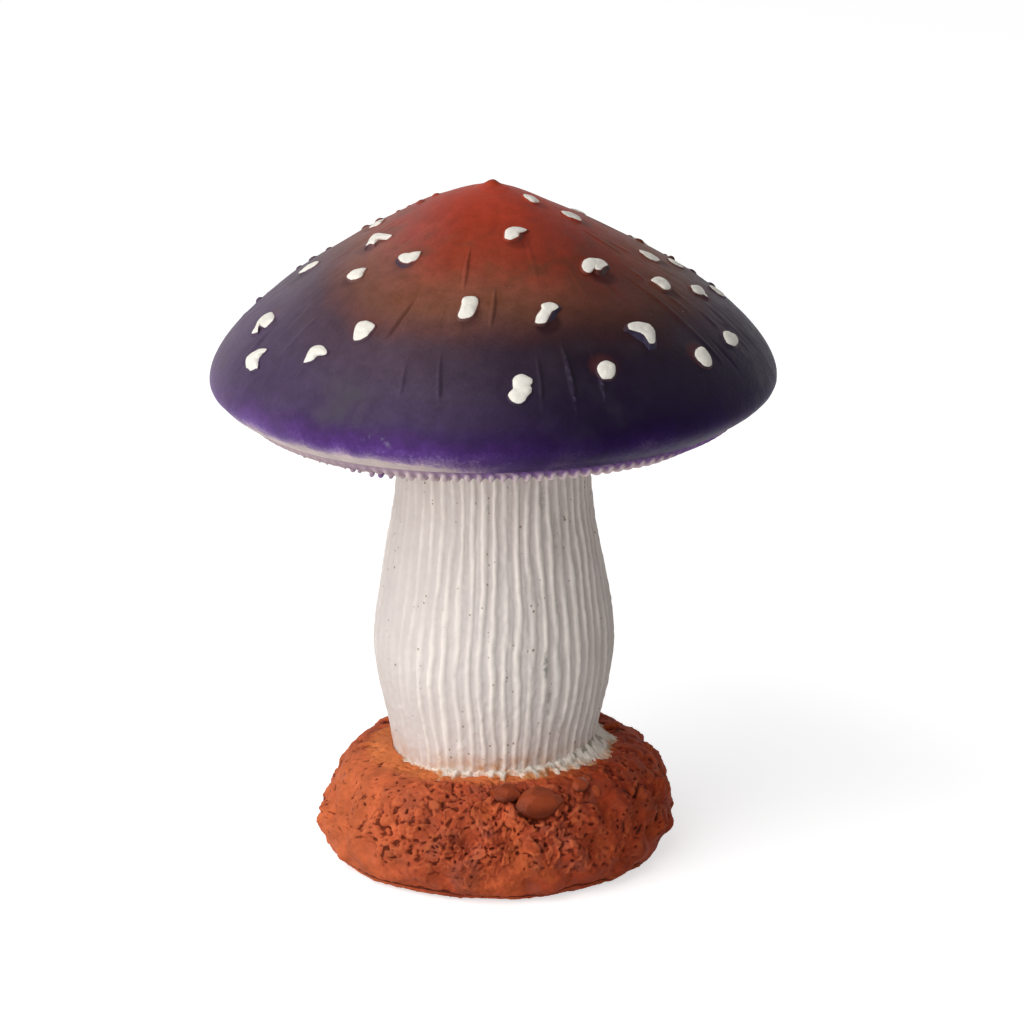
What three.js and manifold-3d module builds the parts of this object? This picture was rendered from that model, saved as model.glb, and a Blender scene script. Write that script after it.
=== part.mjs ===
// Mushroom ornament for an aquarium: a warted cap on a ribbed stem that stands in a mound of soil.
// Millimetres, +Z up. The origin is the centre of the flat underside, and the front faces -Y.

import * as THREE from "three";
import { mergeVertices } from "three/addons/utils/BufferGeometryUtils.js";
import Module from "manifold-3d";

const { degToRad, lerp, smoothstep } = THREE.MathUtils;
const wasm = await Module();
wasm.setup();

// Driving dimensions: the film of glue between two pieces
const BOND_LINE = 0.3;

// Driving dimensions: the mound
const MOUND_FOOT_RADIUS = 30.6;
const MOUND_BELLY_RADIUS = 36;
const MOUND_BELLY_HEIGHT = 6.5;
const MOUND_SIDE_RISE = 7.5;
const MOUND_SHOULDER_REACH = 6.7;
const MOUND_FLOOR = 10;
const CREST_WIDTH = 4;
const CREST_DIP = 2.4;
const POCKET_WALL = 0.9;
const SOIL_RELIEF = 0.7;
const SOIL_CLODS = 0.85;
const SOIL_SLUMP = 4.4;
const CREST_SLUMP = 2.2;
const SOIL_DRAW = 1.2;
const SLUMP_BEARING = -100;
const MOUND_SHOULDER = 0.55;

// Driving dimensions: the stem, with heights above its foot
const STEM_LENGTH = 73;
const STEM_FOOT_RADIUS = 20.2;
const STEM_BELLY_RADIUS = 23.9;
const STEM_BELLY_HEIGHT = 24.5;
const STEM_NECK_RADIUS = 19.2;
const STEM_NECK_LENGTH = 12;
const RIB_COUNT = 56;
const RIB_HEIGHT = 0.7;
const SPIGOT_SHOULDER = 6.2;
const SPIGOT_LENGTH = 9;
const TENON_SHOULDER = 8.2;
const TENON_ENGAGEMENT = 9;

// Driving dimensions: the filler at the stem's foot
const FILLER_RISE = 1;
const FILLER_SHOULDER = 0.35;
const FILLER_RAGGEDNESS = 0.5;

// Driving dimensions: the gills
const GILL_COUNT = 132;
const GILL_HEIGHT = 1;
const GILL_PLATE = 4.4;
const GILL_SWELL = 2.8;
const GILL_EDGE_WIDTH = 4;
const GILL_ROOT_GAP = 1;

// Driving dimensions: the cap
const CAP_RADIUS = 56.2;
const CAP_HEIGHT = 39;
const CROWN_ROUNDNESS = 12;
const SIDE_ROUNDNESS = 12.5;
const CAP_SAG = 1.2;
const SAG_BEARING = 95;
const SAG_RADIUS = 14;
const RIM_RISE = 1.3;
const RISE_BEARING = 25;
const RIM_DROP = 5.6;
const RIM_FLARE = 0.4;
const RIM_LIFT = 0.25;
const LIP_INSET = 5.7;
const LIP_WIDTH = 0.8;
const RECESS_DEPTH = 4;

// Driving dimensions: the warts and the knob on the crown
const WART_HEIGHT = 1.8;
const KNOB_RADIUS = 1.9;
const KNOB_HEIGHT = 1.1;

// Fineness of the faceted surfaces
const MOUND_SIDES = 120;
const CAP_SIDES = 64;
const FILLER_SIDES = 56;
const CORE_SIDES = 32;
const LUMP_SIDES = 9;
const LUMP_ROWS = 5;
const STEM_ROWS = 10;
const MOUND_STEPS = 12;
const DOME_STEPS = 12;
const ARC_STEPS = 4;

// Places of the warts: degrees round from the front, share of the way from the crown to the rim,
// length and width in millimetres, and degrees that the length is turned from the slope.
const FRONT_WARTS = [
  { around: 15, along: 0.28, long: 5.4, wide: 4.0, turn: 113 },
  { around: 85, along: 0.27, long: 5.2, wide: 3.8, turn: 40 },
  { around: 45, along: 0.43, long: 5.8, wide: 4.4, turn: 65 },
  { around: 15, along: 0.545, long: 6.0, wide: 3.8, turn: 133 },
  { around: 86, along: 0.475, long: 5.0, wide: 3.6, turn: 22 },
  { around: 98, along: 0.55, long: 4.4, wide: 3.4, turn: 50 },
  { around: 65, along: 0.54, long: 4.6, wide: 3.6, turn: 28 },
  { around: 80, along: 0.61, long: 4.4, wide: 3.4, turn: 0 },
  { around: 96, along: 0.67, long: 5.0, wide: 3.6, turn: 50 },
  { around: 41, along: 0.645, long: 6.0, wide: 4.8, turn: 40 },
  { around: 26, along: 0.725, long: 4.3, wide: 4.1, turn: 55 },
  { around: 54, along: 0.755, long: 4.9, wide: 3.9, turn: -8 },
  { around: 70, along: 0.745, long: 4.2, wide: 3.7, turn: -12 },
  { around: -72, along: 0.38, long: 5.6, wide: 3.6, turn: 154 },
  { around: -91, along: 0.55, long: 5.6, wide: 3.6, turn: 149 },
  { around: -59, along: 0.475, long: 4.6, wide: 3.8, turn: 143 },
  { around: -75, along: 0.695, long: 5.5, wide: 3.6, turn: 176 },
  { around: -64, along: 0.78, long: 5.2, wide: 3.6, turn: 173 },
  { around: -46, along: 0.71, long: 5.4, wide: 3.8, turn: 141 },
  { around: -37, along: 0.62, long: 5.2, wide: 4.3, turn: 166 },
  { around: -97, along: 0.375, long: 3.6, wide: 3.0, turn: 164 },
  { around: -42, along: 0.39, long: 5.0, wide: 3.9, turn: 133 },
  { around: -8, along: 0.52, long: 6.0, wide: 4.4, turn: 156 },
  { around: 6, along: 0.755, long: 6.3, wide: 4.8, turn: 157 },
  { around: 72, along: 0.16, long: 4.0, wide: 3.2, turn: 5 },
];
const REAR_WARTS = [
  { around: 165, along: 0.24, long: 4.8, wide: 3.6, turn: 60 },
  { around: -165, along: 0.28, long: 5.2, wide: 3.9, turn: 120 },
  { around: 134, along: 0.38, long: 5.0, wide: 3.8, turn: 20 },
  { around: 152, along: 0.42, long: 5.6, wide: 4.2, turn: 75 },
  { around: 179, along: 0.45, long: 4.4, wide: 3.6, turn: 150 },
  { around: -152, along: 0.45, long: 5.4, wide: 4.0, turn: 35 },
  { around: -134, along: 0.4, long: 4.6, wide: 3.5, turn: 100 },
  { around: 127, along: 0.55, long: 5.8, wide: 4.3, turn: 160 },
  { around: 160, along: 0.58, long: 4.4, wide: 4.1, turn: 45 },
  { around: -167, along: 0.6, long: 5.9, wide: 4.4, turn: 10 },
  { around: -136, along: 0.57, long: 4.8, wide: 3.8, turn: 130 },
  { around: -122, along: 0.61, long: 5.3, wide: 3.7, turn: 165 },
  { around: 118, along: 0.68, long: 4.6, wide: 3.9, turn: 85 },
  { around: 138, along: 0.71, long: 5.6, wide: 4.2, turn: 25 },
  { around: 157, along: 0.76, long: 4.8, wide: 3.6, turn: 140 },
  { around: 178, along: 0.72, long: 6.2, wide: 4.7, turn: 70 },
  { around: -156, along: 0.74, long: 4.5, wide: 4.2, turn: 15 },
  { around: -133, along: 0.73, long: 5.4, wide: 3.9, turn: 115 },
  { around: -114, along: 0.77, long: 5.0, wide: 3.8, turn: 155 },
];

// Places of the stones in the mound: millimetres to the right of the front, measured round the side,
// share of the way up the side, length, width, thickness, and degrees that the length is turned.
const STONES = [
  { name: "large_pebble", aside: 9.2, along: 0.65, long: 8.8, wide: 6, thick: 4, turn: 110 },
  { name: "small_pebble", aside: 2.2, along: 0.79, long: 5.6, wide: 3.4, thick: 2.6, turn: 128 },
  { name: "grit_pebble", aside: 18.4, along: 0.76, long: 3.6, wide: 3, thick: 2.4, turn: 40 },
];

// Waves that make the soil's clods where they meet: how many go round the mound, radians that each
// leans for a millimetre of height, and the radians that it starts at.
const CLOD_WAVES = [
  { round: 17, lean: 0.62, start: 0 },
  { round: 23, lean: -0.5, start: 2 },
  { round: 27, lean: 0.35, start: 4 },
];

// Heights of the stack, from the underside up
const STEM_FOOT_Z = MOUND_FLOOR + BOND_LINE + SPIGOT_LENGTH;
const SEAT_Z = STEM_FOOT_Z - BOND_LINE;
const MOUND_HEIGHT = SEAT_Z + POCKET_WALL + CREST_DIP;
const SHOULDER_Z = lerp(MOUND_BELLY_HEIGHT, MOUND_HEIGHT, MOUND_SHOULDER);
const STEM_TOP_Z = STEM_FOOT_Z + STEM_LENGTH;
const GILL_LAND_Z = STEM_TOP_Z + BOND_LINE;
const GILL_TOP_Z = GILL_LAND_Z + GILL_PLATE;
const RECESS_Z = GILL_TOP_Z + BOND_LINE;
const LIP_Z = RECESS_Z - RECESS_DEPTH;
const RIM_Z = LIP_Z + RIM_DROP;
const TENON_TOP_Z = RECESS_Z + TENON_ENGAGEMENT;
const SOCKET_TOP_Z = TENON_TOP_Z + BOND_LINE;

// Radii of what fits into what
const POCKET_RADIUS = STEM_FOOT_RADIUS + RIB_HEIGHT + BOND_LINE;
const CREST_RADIUS = POCKET_RADIUS + CREST_WIDTH;
const SPIGOT_RADIUS = STEM_FOOT_RADIUS - SPIGOT_SHOULDER;
const TENON_RADIUS = STEM_NECK_RADIUS - TENON_SHOULDER;
const SOCKET_RADIUS = TENON_RADIUS + BOND_LINE;
const LIP_RADIUS = CAP_RADIUS - LIP_INSET;
const RECESS_RADIUS = LIP_RADIUS - LIP_WIDTH;
const GILL_RADIUS = RECESS_RADIUS - BOND_LINE;
const GILL_SWELL_RADIUS = GILL_RADIUS - GILL_EDGE_WIDTH;
const GILL_ROOT_RADIUS = STEM_NECK_RADIUS + RIB_HEIGHT + GILL_ROOT_GAP;

const point = (radius, height) => new THREE.Vector2(radius, height);

/** How far an angle faces a bearing in degrees: 1 towards it, 0 on the far side. */
const facing = (angle, bearing) => (1 + Math.cos(angle - degToRad(bearing))) / 2;

/** Turns a profile of (radius, height) points round the upright axis; angle 0 is the front. */
function turned(profile, sides) {
  return new THREE.LatheGeometry(profile, sides).rotateX(Math.PI / 2);
}

/**
 * Moves each vertex: shape(radius, angle, height, up) gives its new radius and height,
 * where up is how far the surface faces upward.
 */
function sculpt(geometry, shape) {
  const positions = geometry.attributes.position;
  const normals = geometry.attributes.normal;
  for (let i = 0; i < positions.count; i++) {
    const x = positions.getX(i);
    const y = positions.getY(i);
    const radius = Math.hypot(x, y);
    const angle = Math.atan2(x, -y);
    const [newRadius, newHeight] = shape(radius, angle, positions.getZ(i), normals.getZ(i));
    positions.setXYZ(i, newRadius * Math.sin(angle), -newRadius * Math.cos(angle), newHeight);
  }
  geometry.computeVertexNormals();
  return geometry;
}

/** A closed geometry as a solid that can be joined and cut. */
function toSolid(geometry) {
  const bare = geometry.clone();
  bare.deleteAttribute("normal");
  bare.deleteAttribute("uv");
  const merged = mergeVertices(bare, 1e-4);
  const vertProperties = Float32Array.from(merged.attributes.position.array);
  const triVerts = Uint32Array.from(merged.index.array);
  return new wasm.Manifold(new wasm.Mesh({ numProp: 3, vertProperties, triVerts }));
}

/** The faces of a solid as a geometry. */
function toGeometry(solid) {
  const mesh = solid.getMesh();
  const geometry = new THREE.BufferGeometry();
  geometry.setAttribute("position", new THREE.BufferAttribute(Float32Array.from(mesh.vertProperties), 3));
  geometry.setIndex(new THREE.BufferAttribute(Uint32Array.from(mesh.triVerts), 1));
  geometry.computeVertexNormals();
  return geometry;
}

const group = new THREE.Group();

/** Adds one named piece in its own colour. */
function addPiece(name, geometry, color, roughness) {
  const material = new THREE.MeshStandardMaterial({ color, roughness, metalness: 0 });
  const mesh = new THREE.Mesh(geometry, material);
  mesh.name = name;
  group.add(mesh);
}

// Mound: a rounded edge at the ground, a side that leans in, and a crest round the stem's seat
const moundSide = new THREE.CubicBezierCurve(
  point(MOUND_BELLY_RADIUS, MOUND_BELLY_HEIGHT),
  point(MOUND_BELLY_RADIUS, MOUND_BELLY_HEIGHT + MOUND_SIDE_RISE),
  point(CREST_RADIUS + MOUND_SHOULDER_REACH, MOUND_HEIGHT),
  point(CREST_RADIUS, MOUND_HEIGHT),
);

/** How far the soil stands out from the smooth mound, fading to nothing at the crest. */
function soilRelief(angle, height) {
  const broad = Math.sin(3 * angle + 0.8);
  const middling = Math.sin(7 * angle + height / 2);
  const small = Math.sin(13 * angle - height);
  return SOIL_RELIEF * ((broad + middling + small) / 2) * (1 - height / MOUND_HEIGHT);
}

/** How far the clods stand out from the mound's side, fading to nothing at the ground and the crest. */
function soilClods(angle, height) {
  let swell = 0;
  for (const { round, lean, start } of CLOD_WAVES) {
    swell += Math.sin(round * angle + lean * height + start) / 2;
  }
  const fromGround = smoothstep(height, 0, MOUND_BELLY_HEIGHT);
  const fromCrest = 1 - smoothstep(height, SHOULDER_Z, MOUND_HEIGHT);
  return SOIL_CLODS * swell * fromGround * fromCrest;
}

/** How far the low side of the mound is drawn in, from nothing at the ground. */
function soilDraw(angle, height) {
  return SOIL_DRAW * facing(angle, SLUMP_BEARING) ** 3 * smoothstep(height, 0, MOUND_BELLY_HEIGHT);
}

/** How far the soil has sunk on the mound's low side: most on the shoulder, less at the crest. */
function soilSlump(angle, height) {
  const side = facing(angle, SLUMP_BEARING) ** 3;
  const sunk = lerp(SOIL_SLUMP, CREST_SLUMP, smoothstep(height, SHOULDER_Z, MOUND_HEIGHT));
  return side * sunk * smoothstep(height, MOUND_BELLY_HEIGHT, SHOULDER_Z);
}

function moundProfile() {
  const edge = [];
  for (let i = 0; i < ARC_STEPS; i++) {
    const swing = (i / ARC_STEPS) * (Math.PI / 2);
    edge.push(point(
      lerp(MOUND_FOOT_RADIUS, MOUND_BELLY_RADIUS, Math.sin(swing)),
      MOUND_BELLY_HEIGHT * (1 - Math.cos(swing)),
    ));
  }
  return [
    point(0, 0),
    ...edge,
    ...moundSide.getPoints(MOUND_STEPS),
    point(POCKET_RADIUS, MOUND_HEIGHT - CREST_DIP),
    point(POCKET_RADIUS, SEAT_Z),
    point(SPIGOT_RADIUS + BOND_LINE, SEAT_Z),
    point(SPIGOT_RADIUS + BOND_LINE, MOUND_FLOOR),
    point(0, MOUND_FLOOR),
  ];
}

/** A frame on a turned curve: its point, and the directions down the curve, round the axis and outward. */
function frameOn(curve, along, angle) {
  const spot = curve.getPoint(along);
  const slope = curve.getTangent(along);
  const outward = new THREE.Vector3(Math.sin(angle), -Math.cos(angle), 0);
  const round = new THREE.Vector3(Math.cos(angle), Math.sin(angle), 0);
  const down = outward.clone().multiplyScalar(slope.x);
  down.z = slope.y;
  const origin = outward.clone().multiplyScalar(spot.x);
  origin.z = spot.y;
  return { origin, down, round, normal: new THREE.Vector3().crossVectors(down, round) };
}

/** An egg-shaped lump in a frame, with its length turned from the way down and a rise on both sides. */
function lump(frame, turn, long, wide, rise) {
  const swing = degToRad(turn);
  const lengthwise = frame.down.clone().multiplyScalar(Math.cos(swing));
  lengthwise.addScaledVector(frame.round, Math.sin(swing));
  const across = new THREE.Vector3().crossVectors(frame.normal, lengthwise);
  const place = new THREE.Matrix4().makeBasis(lengthwise, across, frame.normal).setPosition(frame.origin);
  const ball = new THREE.SphereGeometry(1, LUMP_SIDES, LUMP_ROWS);
  return ball.scale(long / 2, wide / 2, rise).applyMatrix4(place);
}

let mound = toSolid(sculpt(turned(moundProfile(), MOUND_SIDES), (radius, angle, height, up) => {
  if (radius < POCKET_RADIUS + BOND_LINE) return [radius, height];
  const sunk = height - soilSlump(angle, height);
  if (radius < CREST_RADIUS + BOND_LINE) return [radius, sunk];
  const clods = soilClods(angle, height);
  const relief = soilRelief(angle, height) - soilDraw(angle, height);
  return [radius + relief + clods * Math.sqrt(1 - up * up), sunk + clods * up];
}));

// Stones: each lies half sunk in a pocket of the mound
for (const stone of STONES) {
  const { name, aside, along, long, wide, thick, turn } = stone;
  const frame = frameOn(moundSide, along, aside / moundSide.getPoint(along).x);
  const pocket = lump(frame, turn, long + 2 * BOND_LINE, wide + 2 * BOND_LINE, thick / 2 + BOND_LINE);
  mound = mound.subtract(toSolid(pocket));
  addPiece(name, lump(frame, turn, long, wide, thick / 2), 0x85402a, 0.6);
}
addPiece("base_mound", toGeometry(mound), 0xa4502f, 0.9);

// Stem: a ribbed shaft with a swelling belly, on a core that makes the spigot and the tenon
function stemRadius(height) {
  if (height < STEM_BELLY_HEIGHT) {
    return lerp(STEM_FOOT_RADIUS, STEM_BELLY_RADIUS, smoothstep(height, 0, STEM_BELLY_HEIGHT));
  }
  const slimming = smoothstep(height, STEM_BELLY_HEIGHT, STEM_LENGTH - STEM_NECK_LENGTH);
  return lerp(STEM_BELLY_RADIUS, STEM_NECK_RADIUS, slimming);
}

function ribbedShaft() {
  const profile = [point(0, STEM_FOOT_Z)];
  for (let i = 0; i <= STEM_ROWS; i++) {
    const height = (i / STEM_ROWS) * STEM_LENGTH;
    profile.push(point(stemRadius(height), STEM_FOOT_Z + height));
  }
  profile.push(point(0, STEM_TOP_Z));
  return sculpt(turned(profile, 2 * RIB_COUNT), (radius, angle, height) => {
    const rib = (RIB_HEIGHT / 2) * (1 + Math.cos(RIB_COUNT * angle));
    return [radius > STEM_FOOT_RADIUS / 2 ? radius + rib : radius, height];
  });
}

const stemCore = turned([
  point(0, MOUND_FLOOR + BOND_LINE),
  point(SPIGOT_RADIUS, MOUND_FLOOR + BOND_LINE),
  point(SPIGOT_RADIUS, STEM_FOOT_Z + BOND_LINE),
  point(TENON_RADIUS, STEM_TOP_Z - BOND_LINE),
  point(TENON_RADIUS, TENON_TOP_Z),
  point(0, TENON_TOP_Z),
], CORE_SIDES);
addPiece("stem", toGeometry(toSolid(ribbedShaft()).add(toSolid(stemCore))), 0xe6dcd2, 0.75);

// Filler: a ragged ring in the groove between the mound's crest and the stem
const crestSlope = CREST_DIP / CREST_WIDTH;
const fillerRadius = stemRadius(MOUND_HEIGHT + FILLER_RISE - STEM_FOOT_Z) + RIB_HEIGHT + BOND_LINE;
const fillerFoot = MOUND_HEIGHT + BOND_LINE - crestSlope * (CREST_RADIUS - fillerRadius);
const fillerRing = turned([
  point(fillerRadius, fillerFoot),
  point(CREST_RADIUS, MOUND_HEIGHT + BOND_LINE),
  point(lerp(fillerRadius, CREST_RADIUS, FILLER_SHOULDER), MOUND_HEIGHT + FILLER_RISE),
  point(fillerRadius, MOUND_HEIGHT + FILLER_RISE),
  point(fillerRadius, fillerFoot),
], FILLER_SIDES);
sculpt(fillerRing, (radius, angle, height) => {
  const ragged = FILLER_RAGGEDNESS * Math.sin(9 * angle) ** 2 * Math.cos(5 * angle + 1) ** 2;
  const onTop = height > MOUND_HEIGHT + FILLER_RISE / 2;
  const slump = height > fillerFoot + BOND_LINE ? soilSlump(angle, MOUND_HEIGHT) : 0;
  return [radius, height - slump + (onTop ? ragged : 0)];
});
addPiece("filler_ring", fillerRing, 0xe9dccb, 0.95);

/** How far the cap's rim and the gills ride up at the front, fading out towards the stem. */
function rimRise(radius, angle) {
  return RIM_RISE * facing(angle, RISE_BEARING) ** 2 * smoothstep(radius, GILL_ROOT_RADIUS, GILL_RADIUS);
}

// Gills: a disc whose underside swells between the lip and the stem, ridged by the gills
function gillHeight(radius) {
  if (radius > GILL_SWELL_RADIUS) {
    const share = (radius - GILL_SWELL_RADIUS) / (GILL_RADIUS - GILL_SWELL_RADIUS);
    return LIP_Z - GILL_SWELL * Math.sqrt(1 - share * share);
  }
  const rise = smoothstep(radius, GILL_ROOT_RADIUS, GILL_SWELL_RADIUS);
  return lerp(GILL_LAND_Z, LIP_Z - GILL_SWELL, rise);
}

function gillDisc() {
  const underside = [point(GILL_ROOT_RADIUS, GILL_LAND_Z)];
  const inner = lerp(GILL_ROOT_RADIUS, GILL_SWELL_RADIUS, 0.5);
  underside.push(point(inner, gillHeight(inner)));
  for (let i = 0; i <= ARC_STEPS; i++) {
    const swing = (i / ARC_STEPS) * (Math.PI / 2);
    const radius = lerp(GILL_SWELL_RADIUS, GILL_RADIUS, Math.sin(swing));
    underside.push(point(radius, gillHeight(radius)));
  }
  const profile = [
    point(SOCKET_RADIUS, GILL_LAND_Z),
    ...underside,
    point(GILL_RADIUS, GILL_TOP_Z),
    point(SOCKET_RADIUS, GILL_TOP_Z),
    point(SOCKET_RADIUS, GILL_LAND_Z),
  ];
  return sculpt(turned(profile, 2 * GILL_COUNT), (radius, angle, height) => {
    const onGills = radius > GILL_ROOT_RADIUS + BOND_LINE && height < GILL_TOP_Z - BOND_LINE;
    const ridge = onGills ? (GILL_HEIGHT / 2) * Math.cos(GILL_COUNT * angle) : 0;
    return [radius, height + rimRise(radius, angle) - ridge];
  });
}

addPiece("gill_disc", gillDisc(), 0xd9c9cc, 0.8);

// Cap: a conical dome over a rounded rim, with the gills' recess and the tenon's socket beneath
const dome = new THREE.CubicBezierCurve(
  point(0, RIM_Z + CAP_HEIGHT),
  point(CROWN_ROUNDNESS, RIM_Z + CAP_HEIGHT),
  point(CAP_RADIUS, RIM_Z + SIDE_ROUNDNESS),
  point(CAP_RADIUS, RIM_Z),
);
const rim = new THREE.CubicBezierCurve(
  point(LIP_RADIUS, LIP_Z),
  point(lerp(LIP_RADIUS, CAP_RADIUS, RIM_FLARE), lerp(LIP_Z, RIM_Z, RIM_LIFT)),
  point(CAP_RADIUS, lerp(RIM_Z, LIP_Z, RIM_FLARE)),
  point(CAP_RADIUS, RIM_Z),
);

/** The dome from the rim to the crown, grown outward by a margin. */
function domePoints(margin) {
  const points = [];
  for (let i = DOME_STEPS; i > 0; i--) {
    const spot = dome.getPoint(i / DOME_STEPS);
    const slope = dome.getTangent(i / DOME_STEPS);
    points.push(point(spot.x - margin * slope.y, spot.y + margin * slope.x));
  }
  points.push(point(0, RIM_Z + CAP_HEIGHT + margin));
  return points;
}

/** How far the dome has sunk on its low flank, fading out towards the crown and the rim. */
function capSag(radius, angle) {
  const side = facing(angle, SAG_BEARING) ** 2;
  const fromCrown = smoothstep(radius, 0, SAG_RADIUS);
  const fromRim = 1 - smoothstep(radius, SAG_RADIUS, CAP_RADIUS);
  return CAP_SAG * side * fromCrown * fromRim;
}

/** Turns a profile of the cap, sinks its dome and lifts its rim; the socket stays as it is. */
function wavyCap(profile) {
  return sculpt(turned(profile, CAP_SIDES), (radius, angle, height) => {
    const onDome = radius > RECESS_RADIUS || height > SOCKET_TOP_Z;
    return [radius, height + rimRise(radius, angle) - (onDome ? capSag(radius, angle) : 0)];
  });
}

addPiece("cap", wavyCap([
  point(0, SOCKET_TOP_Z),
  point(SOCKET_RADIUS, SOCKET_TOP_Z),
  point(SOCKET_RADIUS, RECESS_Z),
  point(RECESS_RADIUS, RECESS_Z),
  point(RECESS_RADIUS, LIP_Z),
  ...rim.getPoints(ARC_STEPS).slice(0, -1),
  ...domePoints(0),
]), 0x4a2f4c, 0.45);

// Warts: lumps cut to sit a bond line above the dome
const domeEnvelope = toSolid(wavyCap([point(0, RIM_Z), ...domePoints(BOND_LINE)]));

function wart({ around, along, long, wide, turn }) {
  const angle = degToRad(around);
  const radius = dome.getPoint(along).x;
  const frame = frameOn(dome, along, angle);
  frame.origin.z += rimRise(radius, angle) - capSag(radius, angle);
  const body = lump(frame, turn, long, wide, WART_HEIGHT + BOND_LINE);
  return toGeometry(toSolid(body).subtract(domeEnvelope));
}

[...FRONT_WARTS, ...REAR_WARTS].forEach((spot, index) => {
  const number = String(index + 1).padStart(2, "0");
  addPiece(`wart_${number}`, wart(spot), 0xf1ece6, 0.55);
});

const knob = lump(frameOn(dome, 0, 0), 0, 2 * KNOB_RADIUS, 2 * KNOB_RADIUS, KNOB_HEIGHT + BOND_LINE);
addPiece("crown_knob", toGeometry(toSolid(knob).subtract(domeEnvelope)), 0x7a2a22, 0.5);

export default group;
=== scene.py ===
"""Looks of a painted resin mushroom ornament on a mound of soil."""

import logging
import math
from dataclasses import dataclass
from enum import Enum
from functools import cached_property

import bpy
import numpy as np
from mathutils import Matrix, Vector


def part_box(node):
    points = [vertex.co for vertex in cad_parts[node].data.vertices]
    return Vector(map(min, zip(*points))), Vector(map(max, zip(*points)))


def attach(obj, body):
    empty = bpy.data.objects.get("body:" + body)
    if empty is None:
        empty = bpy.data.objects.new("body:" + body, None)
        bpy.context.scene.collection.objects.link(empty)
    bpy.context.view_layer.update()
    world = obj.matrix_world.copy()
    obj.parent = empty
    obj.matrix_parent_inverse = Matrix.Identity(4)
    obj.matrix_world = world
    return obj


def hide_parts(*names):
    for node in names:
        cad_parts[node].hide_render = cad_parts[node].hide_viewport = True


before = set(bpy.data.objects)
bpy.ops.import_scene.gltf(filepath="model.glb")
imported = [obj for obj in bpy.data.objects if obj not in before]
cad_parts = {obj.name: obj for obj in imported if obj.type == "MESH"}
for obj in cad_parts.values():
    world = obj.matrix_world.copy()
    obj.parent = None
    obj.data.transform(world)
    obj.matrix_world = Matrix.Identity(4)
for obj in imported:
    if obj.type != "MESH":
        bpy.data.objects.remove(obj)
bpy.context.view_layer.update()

LOG = logging.getLogger("mushroom")
MM = 0.001
FULL_TURN = 2 * math.pi
Array = np.ndarray
Colour = tuple[float, float, float]
Tree = bpy.types.NodeTree
Node = bpy.types.Node
Socket = bpy.types.NodeSocket
Material = bpy.types.Material
Mesh = bpy.types.Mesh
Piece = bpy.types.Object


class Slot(Enum):
    """The record's material slots."""

    SOIL = "soil"
    PEBBLE = "pebble"
    FILLER = "filler"
    STEM = "stem_white"
    GILL = "gill_white"
    CAP = "cap_paint"
    WART = "wart_white"


class Kind(Enum):
    """The kinds of socket that the node groups have."""

    NUMBER = "NodeSocketFloat"
    WHOLE = "NodeSocketInt"
    VECTOR = "NodeSocketVector"
    COLOUR = "NodeSocketColor"
    GEOMETRY = "NodeSocketGeometry"
    MATERIAL = "NodeSocketMaterial"


# Numbers

def ease(low: float, high: float, value: Array) -> Array:
    """Rises smoothly from 0 at low to 1 at high, or falls where high lies below low."""
    share = np.clip((value - low) / (high - low), 0, 1)
    return share * share * (3 - 2 * share)


def hump(value: Array, middle: float, width: float) -> Array:
    """A soft hump that is 1 at the middle and about a third at a width from it."""
    return np.exp(-(((value - middle) / width) ** 2))


def by_angle(table: list[tuple[float, float]], degrees: Array) -> Array:
    """Reads a table of values by degrees from the front."""
    return np.interp(degrees, *zip(*table))


def wrapped(angle: Array) -> Array:
    """Brings angles to within half a turn of the front."""
    return (angle + math.pi) % FULL_TURN - math.pi


def facing(angle: Array, bearing: float) -> Array:
    """How far angles face a bearing in degrees: 1 towards it, 0 on the far side."""
    return (1 + np.cos(angle - math.radians(bearing))) / 2


def front_heavy(count: int, lean: float) -> Array:
    """Angles round the axis, closer together at the front the higher the lean, from 0 to 1."""
    even = np.arange(count) / count * FULL_TURN
    return even - lean * np.sin(even)


def closed_curve(corners: Array, count: int) -> Array:
    """A smooth closed curve through points.

    Args:
        corners: The points, one a row.
        count: How many points to give.

    Returns:
        The points of the curve, one a row.
    """
    share = np.arange(count) / count * len(corners)
    start = share.astype(int)
    part = (share - start)[:, None]
    before, here, after, beyond = (corners[(start + step) % len(corners)] for step in (-1, 0, 1, 2))
    third = 3 * (here - after) + beyond - before
    second = 2 * before - 5 * here + 4 * after - beyond
    return here + part / 2 * (after - before + part * (second + part * third))


def hashed(cells: Array, seed: int) -> Array:
    """Gives each whole-number cell an even random value.

    Args:
        cells: Whole numbers, three in the last axis.
        seed: Picks one of many such sets.

    Returns:
        Values from 0 to 1, one for each cell.
    """
    whole = cells.astype(np.int64).astype(np.uint32)
    mixed = whole[..., 0] * np.uint32(73856093)
    mixed ^= whole[..., 1] * np.uint32(19349663)
    mixed ^= whole[..., 2] * np.uint32(83492791)
    mixed ^= np.uint32(seed * 2654435761 % 2**32)
    for factor in (0x2C1B3C6D, 0x297A2D39):
        mixed ^= mixed >> np.uint32(15)
        mixed *= np.uint32(factor)
    mixed ^= mixed >> np.uint32(15)
    return mixed / 2.0**32


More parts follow.
